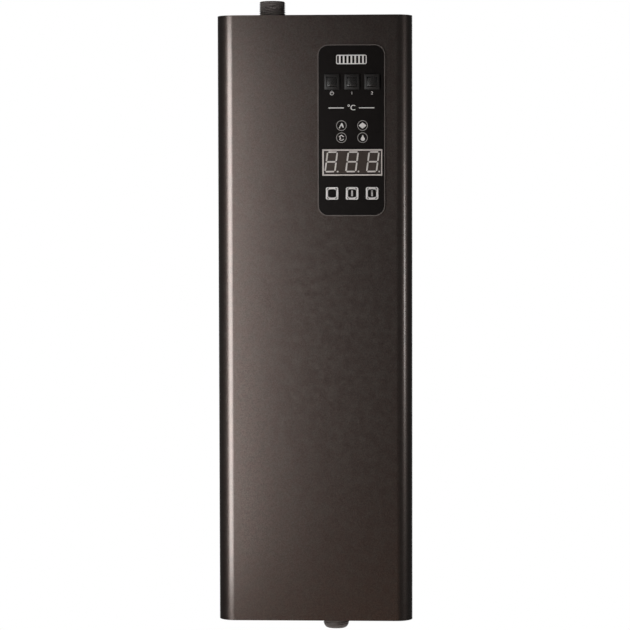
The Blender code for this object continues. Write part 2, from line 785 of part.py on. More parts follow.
def build_end_plate(name, end, holes):
    """end is 1 for the top plate and -1 for the bottom one; its edges are folded into the casing."""
    low, high = sorted((end * END_INNER, end * END_OUTER))
    plate = level_plate(name, [end_outline(), *holes], low, high, BRONZE)
    fold_low, fold_high = sorted((end * (END_OUTER - END_FLANGE), end * (END_OUTER + END_INNER) / 2))
    rear = PANEL_FRONT - GAP
    ribs_end = TANK_X + (RIB_PITCH + RIB_WIDTH) / 2 + PIPE_CLEARANCE
    rear_end = TRAY_HALF - CHASSIS_SHEET - GAP
    front = COVER_BACK + GAP
    front_half = HALF_WIDTH - CASE_CORNER
    rear_low, rear_high = (ribs_end, rear - CHASSIS_SHEET, fold_low), (rear_end, rear, fold_high)
    front_low, front_high = (-front_half, front, fold_low), (front_half, front + CHASSIS_SHEET, fold_high)
    rear_fold = box(f"{name}_rear_fold", rear_low, rear_high)
    front_fold = box(f"{name}_front_fold", front_low, front_high)
    vents = []
    for index, outline in enumerate(slot_outlines(), 1):
        vents.append(level_plate(f"{name}_vent_{index}", [outline], low - OVERRUN, high + OVERRUN))
    fuse(plate, joined(f"{name}_folds", [rear_fold, front_fold]))
    carve(plate, joined(f"{name}_vents", vents))


def build_casing():
    build_front_cover()
    build_cover_screws()
    build_back_plate()
    pipe_hole = STUB_RADIUS + PIPE_CLEARANCE
    build_end_plate("top_plate", 1, [circle((TANK_X, TANK_Y), pipe_hole)])
    entries = [circle(place, GROMMET_NECK + GAP) for place in grommet_places()]
    build_end_plate("bottom_plate", -1, [circle((INLET_X, TANK_Y), pipe_hole), *entries])


def build_grommets():
    """Rubber rings that grip the bottom plate's edge, flush under it."""
    for index, (x, y) in enumerate(grommet_places(), 1):
        high, low = -END_INNER + GAP, -END_OUTER - GAP
        profile = [
            (GROMMET_FLANGE, high + GROMMET_LIP),
            (GROMMET_FLANGE, high),
            (GROMMET_NECK, high),
            (GROMMET_NECK, low),
            (GROMMET_FLANGE, low),
            (GROMMET_FLANGE, low - GROMMET_GUARD),
            (GROMMET_BORE, low - GROMMET_GUARD),
            (GROMMET_BORE, high + GROMMET_LIP),
        ]
        turned(f"cable_grommet_{index}", profile, (x, y, 0), RUBBER)


# Tank and pipes
def dish(radius, rise, edge, steps=5):
    """Points of a dished cap from the hole at its middle down to its edge."""
    inner = math.asin(min(edge / radius, 1.0))
    turns = [inner + (math.pi / 2 - inner) * step / steps for step in range(steps + 1)]
    return [(radius * math.sin(turn), rise * math.cos(turn)) for turn in turns]


def build_tank():
    shell = turned(
        "tank_shell",
        [
            (TANK_RADIUS, TANK_TOP),
            (TANK_RADIUS, TANK_BOTTOM),
            (TANK_RADIUS - TANK_WALL, TANK_BOTTOM),
            (TANK_RADIUS - TANK_WALL, TANK_TOP),
        ],
        (TANK_X, TANK_Y, 0),
        STEEL,
        FINE,
    )
    past_wall = (TANK_X + TANK_RADIUS + OVERRUN, TANK_Y, PORT_Z)
    carve(shell, rod("inlet_port", ELBOW_RADIUS + GAP, (TANK_X, TANK_Y, PORT_Z), past_wall))

    hole = STUB_RADIUS + GAP
    outer = dish(TANK_RADIUS, CAP_RISE, hole)
    inner = dish(TANK_RADIUS - TANK_WALL, CAP_RISE - TANK_WALL, hole)
    cap = turned("tank_top_cap", outer + inner[::-1], (TANK_X, TANK_Y, TANK_TOP + GAP), STEEL, FINE)
    ends = (TANK_X, SENSOR_Y, TANK_TOP), (TANK_X, SENSOR_Y, TANK_TOP + 2 * CAP_RISE)
    carve(cap, rod("pocket_hole", SENSOR_RADIUS + GAP, *ends, TINY))

    base = TANK_BOTTOM - GAP
    turned(
        "tank_bottom_cap",
        [
            (TANK_RADIUS, base),
            (TANK_RADIUS, base - BASE_THICKNESS),
            (COLLAR_RADIUS, base - BASE_THICKNESS),
            (COLLAR_RADIUS, COLLAR_END),
            (COLLAR_BORE, COLLAR_END),
            (COLLAR_BORE, base),
        ],
        (TANK_X, TANK_Y, 0),
        STEEL,
        FINE,
    )


def nose(radius, nose_radius, nose_length, end, direction, steps=5):
    """A rounded end, from the full radius to the end face."""
    points = []
    for step in range(steps + 1):
        turn = math.pi / 2 * step / steps
        height = end - direction * nose_length * (1 - math.sin(turn))
        points.append((nose_radius + (radius - nose_radius) * math.cos(turn), height))
    return points


def build_stubs():
    top = TOP + OUTLET_STAND
    root = TANK_TOP + CAP_RISE - OUTLET_DIP
    head = nose(STUB_RADIUS, OUTLET_NOSE_RADIUS, OUTLET_NOSE_LENGTH, top, 1)[::-1]
    profile = head + [(STUB_RADIUS, root), (OUTLET_BORE, root), (OUTLET_BORE, top)]
    turned("outlet_stub", profile, (TANK_X, TANK_Y, 0), DARK_STEEL)

    bottom = -TOP - INLET_STAND
    tail = nose(STUB_RADIUS, INLET_NOSE_RADIUS, INLET_NOSE_LENGTH, bottom, -1)
    profile = [(STUB_RADIUS, INLET_STUB_TOP)] + tail + [(INLET_BORE, bottom), (INLET_BORE, INLET_STUB_TOP)]
    turned("inlet_stub", profile, (INLET_X, TANK_Y, 0), DARK_STEEL)

    for name, x, end in (("outlet_locknut", TANK_X, 1), ("inlet_locknut", INLET_X, -1)):
        seat = end * (END_INNER - GAP)
        far = seat - end * NUT_HEIGHT
        nut = hexagon(name, NUT_FLATS, (x, TANK_Y, min(seat, far)), (x, TANK_Y, max(seat, far)), BRASS)
        ends = (x, TANK_Y, min(seat, far) - OVERRUN), (x, TANK_Y, max(seat, far) + OVERRUN)
        carve(nut, rod(f"{name}_bore", STUB_RADIUS + GAP, *ends))


def elbow_route(overrun):
    """From inside the tank's wall, round one bend, down to the inlet stub."""
    start = TANK_X + TANK_RADIUS - TANK_WALL - overrun
    points = [(start, TANK_Y, PORT_Z)]
    for step in range(CORNER_STEPS + 1):
        turn = math.pi / 2 * step / CORNER_STEPS
        across = INLET_X - ELBOW_BEND + ELBOW_BEND * math.sin(turn)
        points.append((across, TANK_Y, PORT_Z - ELBOW_BEND * (1 - math.cos(turn))))
    return points + [(INLET_X, TANK_Y, INLET_STUB_TOP + GAP - overrun)]


def build_elbow():
    elbow = as_mesh(wire("inlet_elbow", elbow_route(0.0), ELBOW_RADIUS, STEEL, 4))
    bore = as_mesh(wire("elbow_bore", elbow_route(OVERRUN), ELBOW_BORE, None, 4))
    carve(elbow, bore)


def build_brackets():
    heights = (("upper", TANK_TOP - UPPER_BRACKET_DROP), ("lower", TANK_BOTTOM + LOWER_BRACKET_RISE))
    for name, z in heights:
        low, high = z - BRACKET_HEIGHT / 2, z + BRACKET_HEIGHT / 2
        inner = TANK_RADIUS + GAP
        outer = inner + BRACKET_BAND
        bracket = turned(
            f"tank_bracket_{name}",
            [(outer, high), (outer, low), (inner, low), (inner, high)],
            (TANK_X, TANK_Y, 0),
            ZINC,
            FINE,
        )
        depth = TANK_Y + math.sqrt(inner**2 - BRACKET_LEG_X**2) + BRACKET_BAND / 4
        foot_front = PANEL_FRONT - GAP - BRACKET_SHEET
        for side in (-1, 1):
            near = TANK_X + side * BRACKET_LEG_X
            thick = TANK_X + side * (BRACKET_LEG_X + BRACKET_SHEET)
            far = TANK_X + side * (BRACKET_LEG_X + BRACKET_FOOT)
            tag = f"{name}_{'left' if side < 0 else 'right'}"
            left, right = sorted((near, thick))
            leg = box(f"leg_{tag}", (left, depth, low), (right, PANEL_FRONT - GAP, high))
            left, right = sorted((near, far))
            foot = box(f"foot_{tag}", (left, foot_front, low), (right, PANEL_FRONT - GAP, high))
            fuse(bracket, leg, foot)


# Immersion heater
def leg_place(index):
    turn = 2 * math.pi * index / (2 * ELEMENT_COUNT)
    return TANK_X + ELEMENT_CIRCLE * math.cos(turn), TANK_Y + ELEMENT_CIRCLE * math.sin(turn)


def build_heater():
    centre = (TANK_X, TANK_Y)
    gasket_top = COLLAR_END - GAP
    gasket_low = gasket_top - GASKET_THICKNESS
    turned(
        "plug_gasket",
        [
            (COLLAR_RADIUS, gasket_top),
            (COLLAR_RADIUS, gasket_low),
            (COLLAR_RADIUS - GASKET_WIDTH + GAP, gasket_low),
            (COLLAR_RADIUS - GASKET_WIDTH + GAP, gasket_top),
        ],
        (*centre, 0),
        RUBBER,
        FINE,
    )
    plug = hexagon("heater_plug", PLUG_FLATS, (*centre, PLUG_LOW), (*centre, PLUG_TOP), BRASS)
    ends = (*centre, PLUG_TOP - PLUG_HEIGHT / 2), (*centre, COLLAR_END + PLUG_THREAD)
    fuse(plug, rod("plug_thread", COLLAR_BORE - GAP, *ends, FINE))
    holes = []
    for index in range(2 * ELEMENT_COUNT):
        x, y = leg_place(index)
        ends = (x, y, PLUG_LOW - OVERRUN), (x, y, COLLAR_END + PLUG_THREAD + OVERRUN)
        holes.append(rod(f"leg_hole_{index + 1}", ELEMENT_RADIUS + GAP, *ends, SMALL))
    carve(plug, joined("leg_holes", holes))

    for index in range(ELEMENT_COUNT):
        first, second = leg_place(2 * index), leg_place(2 * index + 1)
        middle = [(a + b) / 2 for a, b in zip(first, second)]
        reach = [(a - b) / 2 for a, b in zip(first, second)]
        bend = math.hypot(*reach)
        crown = PLUG_TOP + ELEMENT_LENGTH - bend
        tail = PLUG_LOW - ELEMENT_TAIL
        points = [(*first, STUD_END), (*first, tail), (*first, tail)]
        for step in range(CORNER_STEPS + 1):
            turn = math.pi * step / CORNER_STEPS
            across = [m + r * math.cos(turn) for m, r in zip(middle, reach)]
            points.append((*across, crown + bend * math.sin(turn)))
        points += [(*second, tail), (*second, tail), (*second, STUD_END)]
        thin = TERMINAL_RADIUS / ELEMENT_RADIUS
        shares = [thin, thin] + [1.0] * (len(points) - 4) + [thin, thin]
        step_up = ELEMENT_RADIUS / 4
        points[2] = (*first, tail + step_up)
        points[-3] = (*second, tail + step_up)
        wire(f"heating_element_{index + 1}", points, ELEMENT_RADIUS, COPPER, 3, shares)

    bridge_low = STUD_END + TERMINAL_LENGTH / 4
    bridge = None
    for index in range(ELEMENT_COUNT):
        turn = 2 * math.pi * index / ELEMENT_COUNT
        reach = ELEMENT_CIRCLE + BRIDGE_WIDTH / 2
        root = BRIDGE_WIDTH / 2
        bar = box(
            "star_bridge" if bridge is None else f"bridge_arm_{index + 1}",
            (-root, -BRIDGE_WIDTH / 2, bridge_low),
            (reach, BRIDGE_WIDTH / 2, bridge_low + BRIDGE_THICKNESS),
            COPPER if bridge is None else None,
        )
        bar.data.transform(Matrix.Translation((*centre, 0)) @ Matrix.Rotation(turn, 4, "Z"))
        if bridge is None:
            bridge = bar
        else:
            fuse(bridge, bar)
    for index in range(ELEMENT_COUNT):
        x, y = leg_place(2 * index)
        ends = (x, y, bridge_low - OVERRUN), (x, y, bridge_low + BRIDGE_THICKNESS + OVERRUN)
        carve(bridge, rod(f"bridge_hole_{index + 1}", TERMINAL_RADIUS + GAP, *ends, TINY))


def build_sensors():
    face = TANK_X + TANK_RADIUS + GAP
    z = TANK_TOP - THERMOSTAT_DROP
    back = face + THERMOSTAT_HEIGHT
    body = rod("overheat_thermostat", THERMOSTAT_RADIUS, (face, TANK_Y, z), (back, TANK_Y, z), ROUND, BLACK)
    for side in (-1, 1):
        y = TANK_Y + side * THERMOSTAT_RADIUS / 2
        half = THERMOSTAT_TAB_SHEET / 2
        tab = box(
            f"thermostat_tab_{side + 2}",
            (back - THERMOSTAT_HEIGHT / 2, y - half, z - THERMOSTAT_TAB_WIDTH / 2),
            (back + THERMOSTAT_TAB_LENGTH, y + half, z + THERMOSTAT_TAB_WIDTH / 2),
        )
        fuse(body, tab)
    lean = math.asin((SENSOR_OFFSET - SENSOR_HEAD) / TANK_RADIUS)
    seat = TANK_TOP + 2 * GAP + CAP_RISE * math.cos(lean)
    head = seat + SENSOR_HEAD_HEIGHT
    ends = (TANK_X, SENSOR_Y, seat - SENSOR_DEPTH), (TANK_X, SENSOR_Y, (seat + head) / 2)
    pocket = rod("sensor_pocket", SENSOR_RADIUS, *ends, TINY, BRASS)
    fuse(pocket, rod("pocket_head", SENSOR_HEAD, (TANK_X, SENSOR_Y, seat), (TANK_X, SENSOR_Y, head), HEX))


# Controls on the front
def build_fascia():
    outlines = [rounded_outline((FASCIA_X, FASCIA_Z), FASCIA_WIDTH, FASCIA_HEIGHT, FASCIA_CORNER)]
    for x in control_columns():
        outlines.append(square_outline((x, ROCKER_Z), HOUSING_WIDTH + 2 * GAP, HOUSING_HEIGHT + 2 * GAP))
        size = SWITCH_SIZE + 2 * GAP
        outlines.append(rounded_outline((x, BUTTON_Z), size, size, SWITCH_CORNER + GAP, 4))
    window = (DISPLAY_WIDTH + 2 * GAP, DISPLAY_HEIGHT + 2 * GAP)
    outlines.append(square_outline((CONTROL_X, DISPLAY_Z), *window))
    upright_plate("fascia_panel", outlines, FASCIA_BACK, FASCIA_FRONT, FILM)


def rocker_outline():
    """Depth and height about the pivot: a scooped face between two ends that are round about the pivot."""
    corner = math.atan2(ROCKER_HALF, ROCKER_FACE)
    back = math.pi - math.acos(min(ROCKER_BACK / ROCKER_END, 1.0))
    points = []
    for step in range(SMALL // 2 + 1):
        share = 1 - 4 * step / SMALL
        points.append((-ROCKER_FACE + ROCKER_SCOOP * (1 - share**2), ROCKER_HALF * share))
    ends = [corner + (back - corner) * step / 4 for step in range(1, 5)]
    points += [(-ROCKER_END * math.cos(turn), -ROCKER_END * math.sin(turn)) for turn in ends]
    points += [(-ROCKER_END * math.cos(turn), ROCKER_END * math.sin(turn)) for turn in reversed(ends)]
    return points


def build_rocker_switch(index, x):
    half_w, half_h = BEZEL_WIDTH / 2, BEZEL_HEIGHT / 2
    seat = FASCIA_FRONT - GAP
    front = seat - BEZEL_STAND
    housing = box(
        f"rocker_housing_{index}",
        (x - half_w, front, ROCKER_Z - half_h),
        (x + half_w, seat, ROCKER_Z + half_h),
        BLACK,
        front_inset=BEZEL_SLOPE,
    )
    body_w, body_h = HOUSING_WIDTH / 2, HOUSING_HEIGHT / 2
    rear = seat + HOUSING_DEPTH
    body = box(
        f"housing_body_{index}",
        (x - body_w, seat - BEZEL_STAND / 2, ROCKER_Z - body_h),
        (x + body_w, rear, ROCKER_Z + body_h),
    )
    fuse(housing, body)
    for side in (-1, 1):
        z = ROCKER_Z + side * BLADE_OFFSET
        blade = box(
            f"blade_{index}_{side + 2}",
            (x - BLADE_WIDTH / 2, rear - HOUSING_DEPTH / 4, z - BLADE_SHEET / 2),
            (x + BLADE_WIDTH / 2, rear + BLADE_LENGTH, z + BLADE_SHEET / 2),
        )
        fuse(housing, blade)
    room = ROCKER_END + GAP
    cavity = box(
        f"rocker_cavity_{index}",
        (x - ROCKER_WIDTH / 2 - GAP, front - OVERRUN, ROCKER_Z - room),
        (x + ROCKER_WIDTH / 2 + GAP, PIVOT_Y + CAVITY_BACK, ROCKER_Z + room),
    )
    hole_half = ROCKER_WIDTH / 2 + TRUNNION_LENGTH + GAP
    ends = (x - hole_half, PIVOT_Y, ROCKER_Z), (x + hole_half, PIVOT_Y, ROCKER_Z)
    carve(housing, cavity, rod(f"trunnion_hole_{index}", TRUNNION_RADIUS + GAP, *ends, TINY))

    shape = [rocker_outline()], ROCKER_WIDTH, Matrix.Identity(4), BLACK, SIDEWAYS
    rocker = flat_plate(f"rocker_{index}", *shape)
    rocker.location = (x, PIVOT_Y, ROCKER_Z)
    rocker.rotation_euler = (-ROCKER_TILT, 0, 0)
    reach = ROCKER_WIDTH / 2 + TRUNNION_LENGTH
    pin = rod(f"trunnion_{index}", TRUNNION_RADIUS, (-reach, 0, 0), (reach, 0, 0), TINY)
    pin.parent = rocker
    fuse(rocker, pin)


def cap_outline(grow=0.0):
    """A cap with straight sides and bulging top and bottom, as (across, up) about its middle."""
    half_w, half_h = CAP_WIDTH / 2 + grow, CAP_HEIGHT / 2 + grow
    shares = [1 - 2 * step / CORNER_STEPS for step in range(CORNER_STEPS + 1)]
    upper = [(half_w * share, half_h + CAP_BULGE * (1 - share**2)) for share in shares]
    return upper + [(-across, -up) for across, up in upper]


def build_button(index, x):
    shift = Matrix.Translation((x, 0, BUTTON_Z))
    outline = rounded_outline((0, 0), SWITCH_SIZE, SWITCH_SIZE, SWITCH_CORNER, 4)
    switch = flat_plate(
        f"tact_switch_{index}",
        [outline],
        BOARD_FRONT - GAP - SWITCH_FRONT,
        shift @ Matrix.Translation((0, (BOARD_FRONT - GAP + SWITCH_FRONT) / 2, 0)) @ UPRIGHT,
        WHITE,
    )
    well = CAP_LENGTH - CAP_STAND - SWITCH_SINK + BUTTON_TRAVEL + GAP
    well_front, well_back = SWITCH_FRONT - OVERRUN, SWITCH_FRONT + well
    cutter = flat_plate(
        f"cap_well_{index}",
        [cap_outline(CAP_CLEARANCE)],
        well_back - well_front,
        shift @ Matrix.Translation((0, (well_front + well_back) / 2, 0)) @ UPRIGHT,
    )
    carve(switch, cutter)
    cap = flat_plate(f"button_cap_{index}", [cap_outline()], CAP_LENGTH, Matrix.Identity(4), BLACK, UPRIGHT)
    cap.location = (x, FASCIA_FRONT - CAP_STAND + CAP_LENGTH / 2, BUTTON_Z)


def segment_outlines(x, z):
    """Seven slanted bars of one digit and its point."""
    half_w = DIGIT_WIDTH / 2 - SEGMENT_WIDTH / 2
    half_h = (DIGIT_HEIGHT - SEGMENT_WIDTH) / 2
    bars = [((-half_w, level * half_h), (half_w, level * half_h)) for level in (1, 0, -1)]
    bars += [((side * half_w, end * half_h), (side * half_w, 0)) for side in (-1, 1) for end in (1, -1)]
    outlines = []
    for start, end in bars:
        start, end = Vector(start), Vector(end)
        along = (end - start).normalized()
        aside = Vector((-along.y, along.x)) * SEGMENT_WIDTH / 2
        tip = along * SEGMENT_WIDTH / 2
        inset = along * SEGMENT_BREAK
        first, last = start + inset, end - inset
        left, right = [first + tip + aside, last - tip + aside], [last - tip - aside, first + tip - aside]
        corners = [first, *left, last, *right]
        outlines.append([(x + p.x + p.y * math.tan(DIGIT_SLANT), z + p.y) for p in corners])
    outlines.append(circle((x + POINT_OFFSET, z - half_h), POINT_RADIUS, TINY))
    return outlines


def build_display():
    half_w, half_h = DISPLAY_WIDTH / 2, DISPLAY_HEIGHT / 2
    low = (CONTROL_X - half_w, DISPLAY_FRONT, DISPLAY_Z - half_h)
    high = (CONTROL_X + half_w, BOARD_FRONT - GAP, DISPLAY_Z + half_h)
    module = box("display_module", low, high, WHITE)
    recess = box(
        "display_recess",
        (low[0] + DISPLAY_RIM, DISPLAY_FRONT - OVERRUN, low[2] + DISPLAY_RIM),
        (high[0] - DISPLAY_RIM, DISPLAY_FRONT + DISPLAY_RECESS, high[2] - DISPLAY_RIM),
    )
    carve(module, recess)
    back = DISPLAY_FRONT + DISPLAY_RECESS - GAP
    front = back - FILTER_THICKNESS
    margin = DISPLAY_RIM + GAP
    face = box(
        "display_face",
        (low[0] + margin, front, low[2] + margin),
        (high[0] - margin, back, high[2] - margin),
        SMOKE,
    )
    digits = []
    for index in range(DIGIT_COUNT):
        shift = (index - (DIGIT_COUNT - 1) / 2) * DIGIT_PITCH
        digits += segment_outlines(CONTROL_X + shift, DISPLAY_Z + DIGIT_RISE)
    fuse(face, upright_plate("segments", digits, front + FILTER_THICKNESS / 2, front - SEGMENT_STAND))


def build_lamps():
    for index, (x, z) in enumerate(icon_places(), 1):
        seat = BOARD_FRONT - GAP
        length = seat - FASCIA_BACK - GAP
        tip = length - LAMP_RADIUS
        dome = [math.pi / 2 * step / 4 for step in range(5)]
        profile = [(LAMP_RADIUS * math.sin(turn), tip + LAMP_RADIUS * math.cos(turn)) for turn in dome]
        profile += [(LAMP_RADIUS, LAMP_FLANGE_HEIGHT), (LAMP_FLANGE, LAMP_FLANGE_HEIGHT)]
        profile += [(LAMP_FLANGE, 0), (0, 0)]
        lamp = turned(f"indicator_lamp_{index}", profile, (x, seat, z), LAMP, TINY, ring=False)
        lamp.rotation_euler = (math.radians(90), 0, 0)


def build_display_board():
    centre = (CONTROL_X, (BOARD_TOP + BOARD_BOTTOM) / 2)
    outline = square_outline(centre, BOARD_WIDTH, BOARD_TOP - BOARD_BOTTOM)
    upright_plate("display_board", [outline], BOARD_BACK, BOARD_FRONT, BOARD)


def build_controls():
    build_fascia()
    build_display_board()
    build_display()
    build_lamps()
    for index, x in enumerate(control_columns(), 1):
        build_rocker_switch(index, x)
        build_button(index, x)


# Electronics on the back plate
def power_corners(inset):
    heights = (POWER_BOTTOM + inset, POWER_TOP - inset)
    return [(x, z) for x in (POWER_LEFT + inset, POWER_RIGHT - inset) for z in heights]


def relay_columns():
    pitch = (POWER_RIGHT - POWER_LEFT) / RELAY_COUNT
    return [POWER_LEFT + pitch * (index + 0.5) for index in range(RELAY_COUNT)]


def build_power_board():
    plate_back = CARRIER_BACK - CARRIER_FOOT_HEIGHT
    low, high = (POWER_LEFT, CARRIER_FACE, POWER_BOTTOM), (POWER_RIGHT, plate_back, POWER_TOP)
    carrier = box("board_carrier", low, high, BLACK)
    middle = plate_back - CARRIER_SHEET / 2
    for index, (x, z) in enumerate(power_corners(CARRIER_FOOT_RADIUS + GAP), 1):
        foot = rod(f"carrier_foot_{index}", CARRIER_FOOT_RADIUS, (x, middle, z), (x, CARRIER_BACK, z), TINY)
        post_end = CARRIER_FACE - CARRIER_POST_HEIGHT
        post = rod(f"carrier_post_{index}", CARRIER_POST_RADIUS, (x, middle, z), (x, post_end, z), TINY)
        fuse(carrier, foot, post)
    box("power_board", (POWER_LEFT, POWER_FRONT, POWER_BOTTOM), (POWER_RIGHT, POWER_BACK, POWER_TOP), BOARD)
    seat = POWER_FRONT - GAP
    for index, x in enumerate(relay_columns(), 1):
        low = (x - RELAY_WIDTH / 2, seat - RELAY_DEPTH, RELAY_BOTTOM)
        high = (x + RELAY_WIDTH / 2, seat, RELAY_BOTTOM + RELAY_HEIGHT)
        box(f"relay_{index}", low, high, BLUE, bevel=CASE_BEVEL)
    left = POWER_LEFT + CARRIER_FOOT_RADIUS
    top = POWER_TOP - SUPPLY_DROP
    low = (left, seat - SUPPLY_DEPTH, top - SUPPLY_HEIGHT)
    box("supply_module", low, (left + SUPPLY_WIDTH, seat, top), IVORY, bevel=CASE_BEVEL)


def build_terminal_block():
    seat = PANEL_FRONT - GAP
    low_z = -TOP + BLOCK_RISE
    face = seat - BLOCK_DEPTH
    high_z = low_z + BLOCK_HEIGHT
    right = BLOCK_LEFT + BLOCK_POLES * BLOCK_POLE_PITCH
    block = box("terminal_block", (BLOCK_LEFT, face, low_z), (right, seat, high_z), IVORY)
    holes = []
    for index in range(BLOCK_POLES):
        x = BLOCK_LEFT + (index + 0.5) * BLOCK_POLE_PITCH
        for tag, z in (("low", low_z + BLOCK_HEIGHT / 4), ("high", high_z - BLOCK_HEIGHT / 4)):
            ends = (x, face - OVERRUN, z), (x, face + WELL_DEPTH, z)
            holes.append(rod(f"screw_well_{tag}_{index}", SCREW_WELL, *ends, TINY))
        entry_y = face + WELL_DEPTH + 2 * WIRE_ENTRY
        ends = (x, entry_y, low_z - OVERRUN), (x, entry_y, high_z + OVERRUN)
        holes.append(rod(f"wire_entry_{index}", WIRE_ENTRY, *ends, TINY))
    carve(block, joined("terminal_holes", holes))


def build_earth_stud():
    ends = (EARTH_X, -GAP, EARTH_Z), (EARTH_X, -EARTH_LENGTH, EARTH_Z)
    stud = rod("earth_stud", EARTH_RADIUS, *ends, SMALL, BRASS)
    seat = PANEL_FRONT - GAP
    ends = (EARTH_X, seat, EARTH_Z), (EARTH_X, seat - EARTH_NUT_HEIGHT, EARTH_Z)
    fuse(stud, hexagon("earth_nut", EARTH_NUT_FLATS, *ends))


# Wiring
def build_wiring():
    start = Vector((BOARD_BACK + GAP, BOARD_BOTTOM + RIBBON_END))
    end = Vector((POWER_FRONT - GAP, POWER_TOP - RIBBON_END))
    reach = (end.x - start.x) / 2
    handles = start, start + Vector((reach, 0)), end - Vector((reach, 0)), end
    path = []
    for step in range(SMALL + 1):
        t = step / SMALL
        weights = (1 - t) ** 3, 3 * t * (1 - t) ** 2, 3 * t**2 * (1 - t), t**3
        point = sum((handle * weight for handle, weight in zip(handles, weights)), Vector((0, 0)))
        path.append((point.x, point.y))
    right = POWER_RIGHT - RIBBON_EDGE_GAP
    bent_sheet("ribbon_cable", path, right - RIBBON_WIDTH, right, 0, RIBBON_SHEET, IVORY)

    plane = TANK_Y + STUB_RADIUS + LEAD_RADIUS + LEAD_STUB_GAP
    for index, relay_x in enumerate(relay_columns()):
        stud_x, stud_y = leg_place(2 * index + 1)
        level = STUD_END - 2 * LEAD_DROP - index * LEAD_LEVEL_STEP
        relay_y = POWER_FRONT - GAP - RELAY_DEPTH / 2
        knots = [
            (relay_x, relay_y, RELAY_BOTTOM - GAP),
            (relay_x, relay_y, RELAY_BOTTOM - LEAD_DROP),
            (relay_x, plane, RELAY_BOTTOM - 3 * LEAD_DROP),
            (relay_x, plane, level + 2 * LEAD_DROP),
            (relay_x - LEAD_DROP, plane, level),
            (TANK_X + TANK_RADIUS, plane, level),
            (stud_x, stud_y, STUD_END - LEAD_DROP),
            (stud_x, stud_y, STUD_END - GAP),
        ]
        route = [knots[0], *flow(knots[1:-1], 4), knots[-1]]
        wire(f"element_lead_{index + 1}", route, LEAD_RADIUS, SHEATH, 1)


# Places that need the sizes of two groups
COLLAR_END = TANK_BOTTOM - GAP - BASE_THICKNESS - COLLAR_HEIGHT
PLUG_TOP = COLLAR_END - GASKET_THICKNESS - 2 * GAP
PLUG_LOW = PLUG_TOP - PLUG_HEIGHT
STUD_END = PLUG_LOW - ELEMENT_TAIL - TERMINAL_LENGTH
PORT_Z = TANK_BOTTOM + INLET_PORT_RISE
INLET_STUB_TOP = -END_INNER + INLET_STUB_INSIDE
SENSOR_Y = TANK_Y + SENSOR_OFFSET
RELAY_BOTTOM = POWER_BOTTOM + RELAY_RISE
BLOCK_LEFT = INNER_HALF - BLOCK_SIDE_GAP - BLOCK_POLES * BLOCK_POLE_PITCH
EARTH_X = BLOCK_LEFT + EARTH_NUT_FLATS
EARTH_Z = -TOP + BLOCK_RISE - EARTH_NUT_FLATS - EARTH_GAP

build_casing()
build_grommets()
build_tank()
build_stubs()
build_elbow()
build_brackets()
build_heater()
build_sensors()
build_controls()
build_power_board()
build_terminal_block()
build_earth_stud()
build_wiring()
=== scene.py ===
"""The looks of a wall-hung electric boiler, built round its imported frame, in metres."""

import json
import math

import bmesh
import bpy
from mathutils import Matrix, Vector


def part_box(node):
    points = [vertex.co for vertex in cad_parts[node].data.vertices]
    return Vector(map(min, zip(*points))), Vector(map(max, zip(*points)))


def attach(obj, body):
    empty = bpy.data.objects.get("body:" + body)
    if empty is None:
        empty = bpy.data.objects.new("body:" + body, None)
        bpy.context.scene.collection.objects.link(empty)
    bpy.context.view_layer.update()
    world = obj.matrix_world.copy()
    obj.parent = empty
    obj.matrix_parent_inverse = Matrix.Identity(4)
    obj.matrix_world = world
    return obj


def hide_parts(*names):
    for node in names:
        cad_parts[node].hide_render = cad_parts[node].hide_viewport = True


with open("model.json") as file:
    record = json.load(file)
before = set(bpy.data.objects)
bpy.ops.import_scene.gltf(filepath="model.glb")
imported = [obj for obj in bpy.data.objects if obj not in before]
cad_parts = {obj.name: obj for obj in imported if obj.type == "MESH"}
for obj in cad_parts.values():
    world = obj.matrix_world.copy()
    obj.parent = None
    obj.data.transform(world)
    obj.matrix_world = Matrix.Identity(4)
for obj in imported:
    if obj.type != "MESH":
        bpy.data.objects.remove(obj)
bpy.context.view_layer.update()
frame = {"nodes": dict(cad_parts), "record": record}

# Places read from the frame
COVER_LOW, COVER_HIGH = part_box("front_cover")
FASCIA_LOW, FASCIA_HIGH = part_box("fascia_panel")
MODULE_LOW, MODULE_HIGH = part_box("display_module")
FILTER_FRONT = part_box("display_face")[0].y
HALF_WIDTH = COVER_HIGH.x
TOP = COVER_HIGH.z
FRONT = COVER_LOW.y
REAR = COVER_HIGH.y
FASCIA_FRONT = FASCIA_LOW.y
FASCIA_X = (FASCIA_LOW.x + FASCIA_HIGH.x) / 2
SWITCHES = (1, 2, 3)
LAMPS = (1, 2, 3, 4)
SCREWS = (1, 2, 3, 4)

# Casing
CORNER = 0.016
SHEET = 0.0012
EDGE_ROUND = 0.0003
CORNER_STEPS = 24
GAP = 0.0003
OVERRUN = 0.002
SCREW_HEAD_RADIUS = 0.0034
SCREW_SHANK_RADIUS = 0.0017
SCREW_ROUND = 0.00008
CROSS_REACH = 0.0019
CROSS_WIDTH = 0.0007
CROSS_DEPTH = 0.0014
STUD_RADIUS = 0.002
LAMP_HOLE_RADIUS = 0.0022
GROMMET_GROOVE = 0.0022
GROMMET_BORE_RADIUS = 0.0065
GROMMET_LIP = 0.00055

# Stubs and their pipe thread
THREAD_PITCH = 0.00207
THREAD_DEPTH = 0.0013
THREAD_LENGTH = 0.030
THREAD_SIDES = 96
THREAD_ROWS = 12
CREST_SHARPNESS = 0.8
BORE_CHAMFER = 0.0006
OUTLET_BORE_RADIUS = 0.0095
OUTLET_NOSE_RADIUS = 0.0116
OUTLET_NOSE_LENGTH = 0.0022
INLET_BORE_RADIUS = 0.0072
INLET_NOSE_RADIUS = 0.0083
INLET_NOSE_LENGTH = 0.0078

